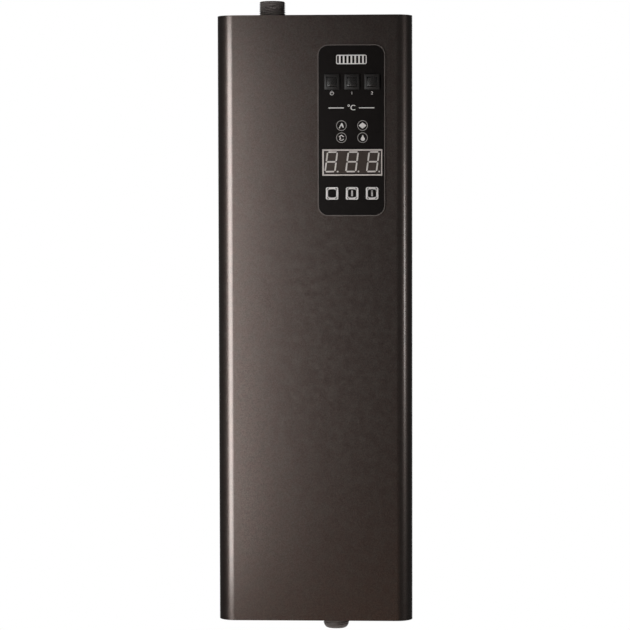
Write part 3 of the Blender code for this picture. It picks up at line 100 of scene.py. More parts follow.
# Fascia and the marks printed on it
FASCIA_CORNER = 0.0095
FASCIA_SHIFT = -0.0001
FASCIA_WIDER = 0.0006
FILM_ROUND = 0.00018
WINDOW_CORNER = 0.0003
RIM_WIDTH = 0.0010
RIM_DROP = 0.0001
RIM_GAP = 0.00002
PRINT_STAND = 0.00006
PRINT_SINK = 0.00004

# Rocker switches
HOUSING_TRIM = 0.0003
HOUSING_ROUND = 0.00022
BODY_WIDTH = 0.0128
BODY_HEIGHT = 0.0129
BEZEL_STEP = 0.0012
MOUTH_EDGE = 0.0003
BLADE_OFFSET = 0.0032
BLADE_HALF_WIDTH = 0.0024
BLADE_HALF_THICKNESS = 0.0004
BLADE_LENGTH = 0.006
BLADE_ROOT = 0.010
CAVITY_WIDTH = 0.0101
CAVITY_HEIGHT = 0.0099
CAVITY_BACK = 0.0028
ROCKER_WIDTH = 0.0097
ROCKER_FACE = 0.0023
ROCKER_HALF = 0.0046
ROCKER_CROWN = 0.0002
ROCKER_CROWN_SIDE = 0.0010
ROCKER_BACK = 0.0010
ROCKER_SINK = 0.0019
ROCKER_TILT = math.radians(12)
ROCKER_FILLET = 0.0004
ROCKER_LIP = 0.0008
ROCKER_STEPS_UP = 8
ROCKER_STEPS_ACROSS = 12
ROCKER_STEPS_LIP = 6
TRUNNION_RADIUS = 0.0009
TRUNNION_LENGTH = 0.0007

# Display
DISPLAY_INSET = 0.0005
DISPLAY_RIM = 0.0014
DISPLAY_RIM_SIDE = 0.0012
DISPLAY_RIM_LEFT = 0.0015
DISPLAY_RECESS = 0.0012
DISPLAY_ROUND = 0.00012
WELL_FLOOR = 0.0010
FILTER_GAP = 0.0009
FILTER_GAP_TOP = 0.0004
FILTER_ROUND = 0.00006
SEGMENT_STAND = 0.0002
SEGMENT_SINK = 0.00005
DIGIT_PITCH = 0.0205
DIGIT_WIDTH = 0.0111
DIGIT_HEIGHT = 0.0207
DIGIT_RISE = 0.0007
DIGIT_SLANT = math.radians(7.5)
SEGMENT_WIDTH = 0.0015
SEGMENT_BREAK = 0.0004
POINT_RADIUS = 0.00085
POINT_OFFSET = 0.0063

# Push buttons
SWITCH_SIZE = 0.0122
SWITCH_CORNER = 0.0018
SWITCH_ROUND = 0.00012
CAP_BULGE = 0.0008
CAP_STEPS = 8
CAP_TRIM = 0.00015
CAP_CLEARANCE = 0.00025
CAP_PROUD = 0.0004
CAP_ROUND = 0.00025
CAP_WELL = 0.0008
CAP_MARK_HALF_WIDTH = 0.00085
CAP_MARK_END = 0.0029
CAP_MARK_BREAK = (0.0012, 0.0017)
GROOVE_ACROSS = 0.0031
GROOVE_UP = 0.0036
GROOVE_RADIUS = 0.0020
GROOVE_WIDTH = 0.0007
GROOVE_DEPTH = 0.0022
GROOVE_SHADE_FLOOR = 0.0005

# Symbols on the fascia, with outlines as (across, up) from the ring's centre
RING_RADIUS = 0.0051
RING_WIDTH = 0.0006
FLAME_OUTER = [
    (0.0024, -0.0020),
    (0.0020, -0.0003),
    (0.0013, 0.0015),
    (0.0004, 0.0028),
    (-0.0006, 0.0014),
    (-0.0016, -0.0004),
    (-0.0026, -0.0027),
]
FLAME_INNER = [
    (-0.0015, -0.0028),
    (-0.0010, -0.0012),
    (-0.0002, 0.0),
    (0.0007, -0.0008),
    (0.0013, -0.0022),
]
LOZENGE_HALF_WIDTH = 0.0038
LOZENGE_HALF_HEIGHT = 0.0031
LOZENGE_NICK_SHARE = 0.08
PUMP_ROOF = [
    (-0.0028, 0.0009),
    (0.0, 0.0030),
    (0.0027, 0.0010),
    (0.0020, 0.0005),
    (0.0, 0.0019),
    (-0.0020, 0.0003),
]
PUMP_RADIUS = 0.0028
PUMP_WIDTH = 0.0007
PUMP_ARC = (215, 335)
PUMP_DOT_LEFT = 0.0011
PUMP_DOT_DROP = 0.0004
PUMP_DOT_RADIUS = 0.0008
DROP_CENTRE = (0.0002, -0.0011)
DROP_RADIUS = 0.0021
DROP_PEAK = 0.0017
DROP_PINCH_SHARE = 0.55
DROP_STEPS = 36

# Marks under and over the rockers
LEGEND_DROP = 0.0111
LEGEND_SIZE = 0.0042
SIGN_RADIUS = 0.0019
SIGN_WIDTH = 0.0005
SIGN_ARC = (125, 415)
SIGN_BAR = (0.0001, 0.0024)
GRILLE_Z = 0.2560
GRILLE_HALF_WIDTH = 0.0150
GRILLE_HALF_HEIGHT = 0.0046
GRILLE_LINE = 0.0009
GRILLE_CORNER = 0.0016
GRILLE_HOLE_CORNER = 0.0008
GRILLE_BARS = 7
GRILLE_PITCH = 0.0038
GRILLE_BAR_HALF = 0.0008
UNIT_Z = 0.2085
UNIT_SIZE = 0.0075
RULE_HALF = 0.0004
RULE_NEAR = 0.0075
RULE_FAR = 0.0225

# Rounding and shading
TINY = 0.000001
WELD = 0.00001
FLAT_ANGLE = math.radians(1)
CAD_SHARP = math.radians(28)
BEVEL_ANGLE = math.radians(32)

# Stage, lights and the dim fill; a light has its place, aim, width, height, power and colour
STAGE = (("floor", 3.2, (0, 1.3, -0.95), 0), ("backdrop", 2.6, (0, 2.8, 0.2), 90))
FILL_STRENGTH = 0.060
WHITE = (1.0, 1.0, 1.0)
WARM = (1.0, 0.62, 0.42)
LIGHTS = {
    "key": ((-0.245, -0.450, 0.0), (-0.06, -0.13, 0.0), 0.19, 0.64, 3.35, WHITE),
    "edge": ((1.46, -0.83, 0.0), (0.09, -0.12, 0.0), 0.06, 0.30, 2.6, WHITE),
    "low": ((0.05, -1.5, -0.82), (0.0, -0.13, -0.28), 0.9, 0.3, 0.85, WARM),
}

# Camera, fitted to the photo's casing
CAMERA_TARGET = Vector((0.0, -0.130, 0.0))
CAMERA_DISTANCE = 2.249
CAMERA_AZIMUTH = math.radians(2.462)
CAMERA_ELEVATION = math.radians(2.554)
CAMERA_ROLL = math.radians(-0.126)
CAMERA_LENS = 129.9
CAMERA_SENSOR = 36.0
CAMERA_SHIFT = (0.00034, 0.00718)


# Node helper
class Nodes:
    """Builds a material's nodes, with coordinates in metres on the object's own mesh."""

    def __init__(self, name):
        self.material = bpy.data.materials.new(name)
        self.material.use_nodes = True
        self.tree = self.material.node_tree
        self.shader = self.tree.nodes["Principled BSDF"]
        self.place = self.tree.nodes.new("ShaderNodeTexCoord").outputs["Object"]

    def node(self, kind, inputs=None, **settings):
        """A new node with its settings, and values or sockets fed to its inputs."""
        node = self.tree.nodes.new(kind)
        for key, value in settings.items():
            setattr(node, key, value)
        for key, value in (inputs or {}).items():
            self.feed(node.inputs[key], value)
        return node

    def feed(self, socket, value):
        if isinstance(value, bpy.types.NodeSocket):
            self.tree.links.new(value, socket)
        else:
            socket.default_value = value

    def noise(self, scale, detail=4.0, roughness=0.55, stretch=None):
        """Noise between 0 and 1; stretch multiplies its scale along each axis."""
        place = self.place
        if stretch:
            place = self.node("ShaderNodeMapping", {"Vector": place, "Scale": stretch}).outputs["Vector"]
        inputs = {"Vector": place, "Scale": scale, "Detail": detail, "Roughness": roughness}
        return self.node("ShaderNodeTexNoise", inputs).outputs["Fac"]

    def cells(self, scale):
        inputs = {"Vector": self.place, "Scale": scale}
        return self.node("ShaderNodeTexVoronoi", inputs).outputs["Color"]

    def ramp(self, factor, *stops):
        """Colours or grey values between pairs of (position, colour)."""
        node = self.node("ShaderNodeValToRGB", {"Fac": factor})
        elements = node.color_ramp.elements
        while len(elements) < len(stops):
            elements.new(0.5)
        for element, (position, colour) in zip(elements, stops):
            element.position = position
            if not isinstance(colour, tuple):
                colour = (colour, colour, colour)
            element.color = (*colour, 1.0)
        return node.outputs["Color"]

    def mix(self, factor, first, second):
        """Blends two colours; a Mix node's colour sockets can only be told apart by number."""
        node = self.node("ShaderNodeMix", data_type="RGBA")
        first_colour, second_colour, result = node.inputs[6], node.inputs[7], node.outputs[2]
        sockets = node.inputs["Factor"], first_colour, second_colour
        for socket, value in zip(sockets, (factor, first, second)):
            if isinstance(value, tuple):
                value = (*value, 1.0)
            self.feed(socket, value)
        return result

    def bump(self, height, strength, distance):
        inputs = {"Height": height, "Strength": strength, "Distance": distance}
        return self.node("ShaderNodeBump", inputs).outputs["Normal"]

    def finish(self, colour, roughness, normal, **sockets):
        """Feeds the shader; a keyword is a socket's name with _ for each space."""
        self.feed(self.shader.inputs["Base Color"], colour)
        self.feed(self.shader.inputs["Roughness"], roughness)
        self.feed(self.shader.inputs["Normal"], normal)
        for name, value in sockets.items():
            self.shader.inputs[name.replace("_", " ")].default_value = value
        return self.material


# Materials
def make_paint():
    """Bronze-brown metallic paint with a fine grain, under a clear coat."""
    n = Nodes("bronze_paint")
    grain = n.noise(1050.0, detail=2.0, roughness=0.75)
    patch = n.noise(140.0, detail=3.0, roughness=0.6)
    warm = n.ramp(grain, (0.30, (0.064, 0.0475, 0.0420)), (0.70, (0.106, 0.0815, 0.0725)))
    cool = n.ramp(grain, (0.30, (0.061, 0.0490, 0.0430)), (0.70, (0.102, 0.0835, 0.0745)))
    colour = n.mix(n.ramp(patch, (0.40, 0.0), (0.60, 1.0)), warm, cool)
    rough = n.ramp(patch, (0.3, 0.34), (0.7, 0.40))
    normal = n.bump(grain, strength=0.35, distance=0.00010)
    return n.finish(colour, rough, normal, Metallic=0.95, Coat_Weight=0.8, Coat_Roughness=0.22)


def make_zinc():
    """Zinc-coated sheet with soft spangle."""
    n = Nodes("zinc_sheet")
    spangle = n.ramp(n.cells(90.0), (0.0, (0.36, 0.37, 0.39)), (1.0, (0.52, 0.53, 0.55)))
    streak = n.noise(260.0, detail=4.0, roughness=0.6, stretch=(1.0, 1.0, 0.06))
    colour = n.mix(n.ramp(streak, (0.3, 0.0), (0.7, 0.5)), spangle, (0.42, 0.43, 0.45))
    rough = n.ramp(n.noise(420.0), (0.3, 0.34), (0.7, 0.5))
    normal = n.bump(streak, strength=0.2, distance=0.00008)
    return n.finish(colour, rough, normal, Metallic=1.0)


def make_plastic(name, low, high, rough_low, rough_high, strength=0.1, **sockets):
    """Moulded plastic, film or rubber with a faint grain and a slow change of colour."""
    n = Nodes(name)
    haze = n.noise(160.0, detail=3.0)
    grain = n.noise(2200.0, detail=2.0)
    rough = n.ramp(grain, (0.3, rough_low), (0.7, rough_high))
    colour = n.ramp(haze, (0.3, low), (0.7, high))
    return n.finish(colour, rough, n.bump(grain, strength, distance=0.00005), **sockets)


def make_metal(name, low, high, rough_low, rough_high, metallic=1.0):
    """Machined or drawn metal with faint tool marks round its length."""
    n = Nodes(name)
    stain = n.noise(85.0, detail=4.0, roughness=0.6)
    tool = n.noise(600.0, detail=3.0, roughness=0.6, stretch=(1.0, 1.0, 3.0))
    rough = n.ramp(tool, (0.3, rough_low), (0.7, rough_high))
    colour = n.ramp(stain, (0.3, low), (0.7, high))
    return n.finish(colour, rough, n.bump(tool, strength=0.15, distance=0.00006), Metallic=metallic)


def make_board():
    """Green solder mask with fine copper tracks under it."""
    n = Nodes("circuit_board")
    inputs = {"Vector": n.place, "Scale": 420.0, "Mortar Size": 0.06}
    tracks = n.node("ShaderNodeTexBrick", inputs).outputs["Fac"]
    colour = n.mix(tracks, (0.012, 0.075, 0.03), (0.03, 0.15, 0.055))
    rough = n.ramp(n.noise(500.0), (0.3, 0.3), (0.7, 0.45))
    return n.finish(colour, rough, n.bump(tracks, strength=0.2, distance=0.00005))


BLACK_LOW, BLACK_HIGH = (0.008, 0.0072, 0.0066), (0.0125, 0.0112, 0.0105)
FILM_LOW, FILM_HIGH = (0.0034, 0.0025, 0.0022), (0.0046, 0.0035, 0.0031)
FILTER_DARK, FILTER_PALE = (0.030, 0.023, 0.0195), (0.039, 0.030, 0.0255)
STUB_LOW, STUB_HIGH = (0.235, 0.206, 0.194), (0.330, 0.292, 0.276)
# The rim's lighter grey is a painted highlight along the film's edge
RIM_HIGHLIGHT_LOW, RIM_HIGHLIGHT_HIGH = (0.074, 0.063, 0.058), (0.088, 0.076, 0.070)
MATERIALS = {
    "bronze_paint": make_paint(),
    "zinc_sheet": make_zinc(),
    "black_fascia": make_plastic("black_fascia", FILM_LOW, FILM_HIGH, 0.42, 0.55, Specular_IOR_Level=0.1),
    "black_plastic": make_plastic(
        "black_plastic", BLACK_LOW, BLACK_HIGH, 0.45, 0.58, Specular_IOR_Level=0.3
    ),
    "white_plastic": make_plastic("white_plastic", (0.47, 0.45, 0.44), (0.54, 0.52, 0.51), 0.35, 0.5),
    "smoked_filter": make_plastic(
        "smoked_filter", FILTER_DARK, FILTER_PALE, 0.3, 0.42, Specular_IOR_Level=0.2
    ),
    "circuit_board": make_board(),
    "tank_steel": make_metal("tank_steel", (0.36, 0.36, 0.37), (0.48, 0.48, 0.49), 0.28, 0.45),
    "stub_steel": make_metal("stub_steel", STUB_LOW, STUB_HIGH, 0.45, 0.6, metallic=0.15),
    "brass": make_metal("brass", (0.56, 0.37, 0.13), (0.66, 0.46, 0.19), 0.25, 0.4),
    "copper": make_metal("copper", (0.55, 0.22, 0.12), (0.68, 0.31, 0.18), 0.28, 0.42),
    "rubber": make_plastic("rubber", (0.014, 0.0135, 0.013), (0.024, 0.023, 0.022), 0.6, 0.8, strength=0.3),
    "ivory_plastic": make_plastic("ivory_plastic", (0.50, 0.46, 0.36), (0.58, 0.54, 0.43), 0.4, 0.55),
    "relay_blue": make_plastic("relay_blue", (0.015, 0.055, 0.2), (0.025, 0.08, 0.27), 0.35, 0.5),
    "lead_sheath": make_plastic("lead_sheath", (0.2, 0.022, 0.015), (0.28, 0.032, 0.022), 0.45, 0.6),
    "lamp_lens": make_plastic("lamp_lens", (0.45, 0.44, 0.42), (0.52, 0.51, 0.49), 0.15, 0.3),
}
FRAME_GREY = make_plastic("display_frame", (0.36, 0.325, 0.305), (0.44, 0.40, 0.375), 0.35, 0.5)
SEGMENT = make_plastic("display_segment", (0.38, 0.35, 0.33), (0.45, 0.42, 0.40), 0.35, 0.5)
PRINT = make_plastic("pale_print", (0.50, 0.48, 0.47), (0.60, 0.58, 0.57), 0.45, 0.6)
DIM_PRINT = make_plastic("dim_print", (0.17, 0.16, 0.155), (0.23, 0.22, 0.21), 0.45, 0.6)
CAP_PRINT = make_plastic("cap_print", (0.30, 0.285, 0.28), (0.36, 0.345, 0.34), 0.45, 0.6)
CAP_BLACK = make_plastic("cap_black", FILM_LOW, FILM_HIGH, 0.35, 0.48, Specular_IOR_Level=0.12)
# Lighter grey for the rim round the film: painted highlight on its edge
RIM_HIGHLIGHT = make_plastic("fascia_rim_highlight", RIM_HIGHLIGHT_LOW, RIM_HIGHLIGHT_HIGH, 0.45, 0.6, Specular_IOR_Level=0.2)
ICON_PRINT = make_plastic("icon_print", (0.40, 0.385, 0.375), (0.50, 0.48, 0.47), 0.45, 0.6)
PADDLE = make_plastic("paddle_black", BLACK_LOW, BLACK_HIGH, 0.24, 0.34, Specular_IOR_Level=1.0)


def dress_cad_nodes():
    """Gives every CAD node its slot's material, and shades its round faces smooth."""
    for part in frame["record"]["subparts"]:
        mesh = frame["nodes"][part["node"]].data
        mesh.materials.clear()
        mesh.materials.append(MATERIALS[part["material_slot"]])
        mesh.shade_smooth()
        mesh.set_sharp_from_angle(angle=CAD_SHARP)


# Shape helpers
def scratch(name, data):
    """A new object in the scene."""
    obj = bpy.data.objects.new(name, data)
    bpy.context.scene.collection.objects.link(obj)
    return obj


def evaluated(obj):
    """Applies an object's modifiers and returns its mesh in world places; the object goes."""
    bpy.context.view_layer.update()
    graph = bpy.context.evaluated_depsgraph_get()
    source = obj.evaluated_get(graph)
    mesh = bpy.data.meshes.new_from_object(source, preserve_all_data_layers=True, depsgraph=graph)
    mesh.transform(obj.matrix_world)
    bpy.data.objects.remove(obj, do_unlink=True)
    return mesh


def mesh_of(name, bm):
    """A bmesh as a mesh; the bmesh goes."""
    mesh = bpy.data.meshes.new(name)
    bm.to_mesh(mesh)
    bm.free()
    return mesh


def bm_of(mesh):
    """A mesh as a bmesh; the mesh goes."""
    bm = bmesh.new()
    bm.from_mesh(mesh)
    bpy.data.meshes.remove(mesh)
    return bm


def add_piece(name, bm, slot, body="casing", material=None, replaces=(), bevel=0.0, steps=3, sharp=40.0):
    """Rounds the shape's edges, shades it and makes it a piece that rides on a body."""
    bmesh.ops.recalc_face_normals(bm, faces=bm.faces)
    mesh = mesh_of(name, bm)
    mesh.shade_smooth()
    if bevel:
        work = scratch(name, mesh)
        rounding = work.modifiers.new("rounding", "BEVEL")
        rounding.limit_method = "ANGLE"
        rounding.angle_limit = BEVEL_ANGLE
        rounding.width = bevel
        rounding.segments = steps
        rounding.miter_outer = "MITER_ARC"
        weights = work.modifiers.new("weights", "WEIGHTED_NORMAL")
        weights.keep_sharp = True
        mesh = evaluated(work)
        mesh.name = name
    else:
        mesh.set_sharp_from_angle(angle=math.radians(sharp))
    mesh.materials.clear()
    mesh.materials.append(material or MATERIALS[slot])
    obj = scratch(name, mesh)
    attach(obj, body)
    if replaces:
        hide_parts(*replaces)


def merged(parts):
    """One bmesh out of several."""
    bm = bmesh.new()
    for part in parts:
        mesh = mesh_of("merge", part)
        bm.from_mesh(mesh)
        bpy.data.meshes.remove(mesh)
    return bm


def boolean(bm, tool, operation="DIFFERENCE"):
    """Cuts the tool out of bm, or joins the two."""
    work = scratch("work", mesh_of("work", bm))
    other = scratch("tool", mesh_of("tool", tool))
    modifier = work.modifiers.new("cut", "BOOLEAN")
    modifier.operation = operation
    modifier.solver = "EXACT"
    modifier.object = other
    mesh = evaluated(work)
    bpy.data.objects.remove(other, do_unlink=True)
    return bm_of(mesh)


def block(low, high, inset=0.0):
    """A box between two corners; inset narrows its front, the face towards -Y."""
    low, high = Vector(low), Vector(high)
    bm = bmesh.new()
    bmesh.ops.create_cube(bm, size=1.0)
    bmesh.ops.scale(bm, vec=high - low, verts=bm.verts)
    bmesh.ops.translate(bm, vec=(low + high) / 2, verts=bm.verts)
    middle = (low + high) / 2
    for vert in bm.verts:
        if vert.co.y < middle.y:
            vert.co.x -= math.copysign(inset, vert.co.x - middle.x)
            vert.co.z -= math.copysign(inset, vert.co.z - middle.z)
    return bm


def rod(radius, start, end, sides=32, end_radius=None):
    """A cylinder or cone between two points."""
    start, end = Vector(start), Vector(end)
    along = end - start
    turn = Vector((0, 0, 1)).rotation_difference(along).to_matrix().to_4x4()
    bm = bmesh.new()
    bmesh.ops.create_cone(
        bm,
        cap_ends=True,
        segments=sides,
        radius1=radius,
        radius2=radius if end_radius is None else end_radius,
        depth=along.length,
        matrix=Matrix.Translation((start + end) / 2) @ turn,
    )
    return bm


def ring_strip(bm, rings, closed=True):
    """Faces between rings of points; closed joins the last ring to the first."""
    rows = [[bm.verts.new(point) for point in ring] for ring in rings]
    pairs = zip(rows, rows[1:] + rows[:1]) if closed else zip(rows, rows[1:])
    for first, second in pairs:
        for index in range(len(first)):
            following = (index + 1) % len(first)
            bm.faces.new((first[index], first[following], second[following], second[index]))
    return rows


def ring_points(centre, height, turns, radii):
    """Points round a vertical axis at one height, with a radius for each turn."""
    x, y = centre
    spots = zip(turns, radii)
    return [(x + radius * math.cos(turn), y + radius * math.sin(turn), height) for turn, radius in spots]


def lathe(profile, centre, sides=72):
    """A closed profile of (radius, height) turned round a vertical axis."""
    turns = [2 * math.pi * side / sides for side in range(sides)]
    bm = bmesh.new()
    ring_strip(bm, [ring_points(centre, height, turns, [radius] * sides) for radius, height in profile])
    return bm


def stood_up(curve, across, up, back, front):
    """A flat curve as a solid that faces -Y, from its back to its front."""
    curve.extrude = (back - front) / 2
    work = scratch(curve.name, curve)
    upright = Matrix.Rotation(math.radians(90), 4, "X")
    work.matrix_world = Matrix.Translation((across, (back + front) / 2, up)) @ upright
    bm = bm_of(evaluated(work))
    bmesh.ops.remove_doubles(bm, verts=bm.verts, dist=TINY)
    return bm


def plate(outlines, back, front):
    """A plate in the XZ plane, filled between outlines that may have holes."""
    curve = bpy.data.curves.new("plate", "CURVE")
    curve.dimensions = "2D"
    curve.fill_mode = "BOTH"
    for outline in outlines:
        spline = curve.splines.new("POLY")
        spline.points.add(len(outline) - 1)
        for point, (across, up) in zip(spline.points, outline):
            point.co = (across, up, 0, 1)
        spline.use_cyclic_u = True
    return stood_up(curve, 0, 0, back, front)


def written(body, size, x, z, back, front):
    """Plain characters on the XZ plane, centred on a point."""
    curve = bpy.data.curves.new("characters", "FONT")
    curve.body = body
    curve.size = size
    curve.align_x = "CENTER"
    curve.align_y = "CENTER"
    return stood_up(curve, x, z, back, front)


def arc(centre, radius, start, end, steps):
    """Points along an arc, with angles in degrees."""
    turns = [math.radians(start + (end - start) * step / steps) for step in range(steps + 1)]
    return [(centre[0] + radius * math.cos(t), centre[1] + radius * math.sin(t)) for t in turns]


def circle(centre, radius, steps=40):
    """A closed ring of points."""
    return arc(centre, radius, 0, 360 - 360 / steps, steps - 1)


def band(centre, radius, width, start, end, steps=30):
    """Part of a ring, as one closed outline."""
    outer = arc(centre, radius, start, end, steps)
    return outer + arc(centre, radius - width, end, start, steps)


def rounded(centre, width, height, radius, steps=8):
    """A rectangle with round corners."""
    points = []
    for quarter, (side, end) in enumerate(((1, 1), (-1, 1), (-1, -1), (1, -1))):
        middle = (centre[0] + side * (width / 2 - radius), centre[1] + end * (height / 2 - radius))
        points += arc(middle, radius, 90 * quarter, 90 * quarter + 90, steps)
    return points


def oblong(left, bottom, right, top):
    return [(left, bottom), (right, bottom), (right, top), (left, top)]


def moved(points, centre):
    return [(centre[0] + across, centre[1] + up) for across, up in points]


def middle_of(node):
    """The middle of a CAD node's box."""
    low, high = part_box(node)
    return (low + high) / 2


# Casing
def build_cover():
    """One sheet bent round the front and both sides, with every hole it carries."""
    outer, inner = [(-HALF_WIDTH, REAR)], [(-HALF_WIDTH + SHEET, REAR)]
    for side, start in ((-1, 180), (1, 270)):
        centre = (side * (HALF_WIDTH - CORNER), FRONT + CORNER)
        outer += arc(centre, CORNER, start, start + 90, CORNER_STEPS)
        inner += arc(centre, CORNER - SHEET, start, start + 90, CORNER_STEPS)
    outer.append((HALF_WIDTH, REAR))
    inner.append((HALF_WIDTH - SHEET, REAR))
    bm = bmesh.new()
    levels = []
    for height in (-TOP, TOP):
        levels.append([[bm.verts.new((x, y, height)) for x, y in line] for line in (outer, inner)])
    (low_out, low_in), (high_out, high_in) = levels
    for index in range(len(outer) - 1):
        after = index + 1
        bm.faces.new((low_out[index], low_out[after], high_out[after], high_out[index]))
        bm.faces.new((low_in[index], high_in[index], high_in[after], low_in[after]))
        bm.faces.new((low_out[index], low_in[index], low_in[after], low_out[after]))
        bm.faces.new((high_out[index], high_out[after], high_in[after], high_in[index]))
    for index in (0, -1):
        bm.faces.new((low_out[index], high_out[index], high_in[index], low_in[index]))
    bmesh.ops.recalc_face_normals(bm, faces=bm.faces)
    bm = boolean(bm, cover_studs(), "UNION")
    bm = boolean(bm, merged(cover_cutters()))
    add_piece("casing_cover", bm, "bronze_paint", replaces=("front_cover",), bevel=EDGE_ROUND)


def cover_studs():
    """Four pins behind the front that the display board rests on."""
    low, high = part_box("display_board")
    inset = STUD_RADIUS + GAP
    between = (MODULE_LOW.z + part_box("tact_switch_1")[1].z) / 2
    studs = []
    for z in (high.z - inset, between):
        for x in (low.x + inset, high.x - inset):
            studs.append(rod(STUD_RADIUS, (x, FRONT + SHEET / 2, z), (x, low.y - GAP, z), sides=24))
    return merged(studs)


def front_cutter(node):
    """A block through the front sheet that clears a node by the gap."""
    low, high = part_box(node)
    start = (low.x - GAP, FRONT - OVERRUN, low.z - GAP)
    return block(start, (high.x + GAP, FRONT + SHEET + OVERRUN, high.z + GAP))


def cover_cutters():
    """What is cut out of the cover: windows, switch holes, lamp holes and countersinks."""
    tools = [front_cutter("display_module")]
    for index in SWITCHES:
        centre = middle_of(f"rocker_housing_{index}")
        half_w, half_h = BODY_WIDTH / 2 + GAP, BODY_HEIGHT / 2 + GAP
        low = (centre.x - half_w, FRONT - OVERRUN, centre.z - half_h)
        high = (centre.x + half_w, FRONT + SHEET + OVERRUN, centre.z + half_h)
        tools.append(block(low, high))
        tools.append(front_cutter(f"tact_switch_{index}"))
    for index in LAMPS:
        place = middle_of(f"indicator_lamp_{index}")
        start = (place.x, FRONT - OVERRUN, place.z)
        tools.append(rod(LAMP_HOLE_RADIUS, start, (place.x, FRONT + SHEET + OVERRUN, place.z)))
    # The countersinks' cones are carried on past both faces of the sheet
    past = SCREW_SHANK_RADIUS / 2
    extra = past * SHEET / (SCREW_HEAD_RADIUS - SCREW_SHANK_RADIUS)
    for index in SCREWS:
        place = middle_of(f"cover_screw_{index}")
        side = math.copysign(1, place.x)
        inner = (side * (HALF_WIDTH - SHEET - extra), place.y, place.z)
        outer = (side * (HALF_WIDTH + extra), place.y, place.z)
        tools.append(rod(past + GAP, inner, outer, sides=40, end_radius=SCREW_HEAD_RADIUS + past + GAP))
    return tools


def build_screws():
    """Countersunk heads with a cross recess, flush in the cover's sides."""
    for index in SCREWS:
        node = f"cover_screw_{index}"
        low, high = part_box(node)
        place = (low + high) / 2
        side = math.copysign(1, place.x)
        head, tip = (low.x, high.x) if side < 0 else (high.x, low.x)
        neck = head - side * SHEET
        ends = (head, place.y, place.z), (neck, place.y, place.z)
        bm = rod(SCREW_HEAD_RADIUS, *ends, sides=40, end_radius=SCREW_SHANK_RADIUS)
        start = (neck + side * SHEET / 2, place.y, place.z)
        bm = boolean(bm, rod(SCREW_SHANK_RADIUS, start, (tip, place.y, place.z), sides=24), "UNION")
        deep = head - side * CROSS_DEPTH
        for across, up in ((CROSS_REACH, CROSS_WIDTH / 2), (CROSS_WIDTH / 2, CROSS_REACH)):
            near = head + side * OVERRUN
            start = (min(deep, near), place.y - across, place.z - up)
            arm = block(start, (max(deep, near), place.y + across, place.z + up))
            bm = boolean(bm, arm)
        add_piece(f"screw_{index}", bm, "zinc_sheet", replaces=(node,), bevel=SCREW_ROUND, steps=2)


def build_grommets():
    """Rubber rings with soft lips above and below the bottom plate."""
    for index in (1, 2):
        node = f"cable_grommet_{index}"
        low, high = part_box(node)
        middle = (low + high) / 2
        flange = (high.x - low.x) / 2
        neck = flange - GROMMET_GROOVE
        sheet_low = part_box("bottom_plate")[0].z
        under, over = sheet_low - GAP, sheet_low + SHEET + GAP
        outside, inside = flange - GROMMET_LIP, GROMMET_BORE_RADIUS + GROMMET_LIP
        upper, lower = high.z - GROMMET_LIP, low.z + GROMMET_LIP
        profile = [(neck, over), (flange, over)]
        profile += arc((outside, upper), GROMMET_LIP, 0, 90, 6)
        profile += arc((inside, upper), GROMMET_LIP, 90, 180, 6)
        profile += arc((inside, lower), GROMMET_LIP, 180, 270, 6)
        profile += arc((outside, lower), GROMMET_LIP, 270, 360, 6)
        profile += [(flange, under), (neck, under)]
        bm = lathe(profile, (middle.x, middle.y))
        add_piece(f"grommet_{index}", bm, "rubber", replaces=(node,), sharp=30.0)


# Threaded stubs
def build_stub(name, node, bore, nose_radius, nose_length, direction):
    """A pipe end with a right-hand thread; direction is 1 where it points up."""
    low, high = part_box(node)
    axis = ((low + high) / 2).xy
    crest = (high.x - low.x) / 2
    tip, root = (high.z, low.z) if direction > 0 else (low.z, high.z)
    length = abs(tip - root)
    plain = crest - THREAD_DEPTH / 2

    def reach(depth, turn):
        """The outer radius at a depth behind the tip."""
        phase = depth / THREAD_PITCH + direction * turn / (2 * math.pi)
        tooth = 0.5 + 0.5 * math.cos(2 * math.pi * phase)
        found = crest - THREAD_DEPTH * (1 - tooth**CREST_SHARPNESS)
        fade = min(max((THREAD_LENGTH - depth) / THREAD_PITCH, 0.0), 1.0)
        found = found * fade + plain * (1 - fade)
        if depth < nose_length:
            share = 1 - depth / nose_length
            nose = nose_radius + (crest - nose_radius) * math.sqrt(max(1 - share**2, 0.0))
            found = min(found, nose)
        return found

    step = THREAD_PITCH / THREAD_ROWS
    depths = [row * step for row in range(int(THREAD_LENGTH / step) + 1)] + [THREAD_LENGTH, length]
    turns = [2 * math.pi * side / THREAD_SIDES for side in range(THREAD_SIDES)]
    rows = [(depth, [reach(depth, turn) for turn in turns]) for depth in depths]
    for depth, radius in ((length, bore), (BORE_CHAMFER, bore), (0.0, bore + BORE_CHAMFER)):
        rows.append((depth, [radius] * THREAD_SIDES))
    rings = [ring_points(axis, tip - direction * depth, turns, radii) for depth, radii in rows]
    bm = bmesh.new()
    ring_strip(bm, rings)
    add_piece(name, bm, "stub_steel", replaces=(node,), sharp=75.0)


def build_stubs():
    build_stub("outlet_thread", "outlet_stub", OUTLET_BORE_RADIUS, OUTLET_NOSE_RADIUS, OUTLET_NOSE_LENGTH, 1)
    build_stub("inlet_thread", "inlet_stub", INLET_BORE_RADIUS, INLET_NOSE_RADIUS, INLET_NOSE_LENGTH, -1)


# Fascia
def display_box():
    """The display frame's corners, with its left side set in a little."""
    return MODULE_LOW + Vector((DISPLAY_INSET, 0, 0)), MODULE_HIGH.copy()


def fascia_outline(grow=0.0):
    """The film's outline, larger all round by grow."""
    size = FASCIA_HIGH - FASCIA_LOW
    centre = (FASCIA_X + FASCIA_SHIFT, (FASCIA_LOW.z + FASCIA_HIGH.z) / 2)
    width = size.x + FASCIA_WIDER + 2 * grow
    return rounded(centre, width, size.z + 2 * grow, FASCIA_CORNER + grow, steps=20)


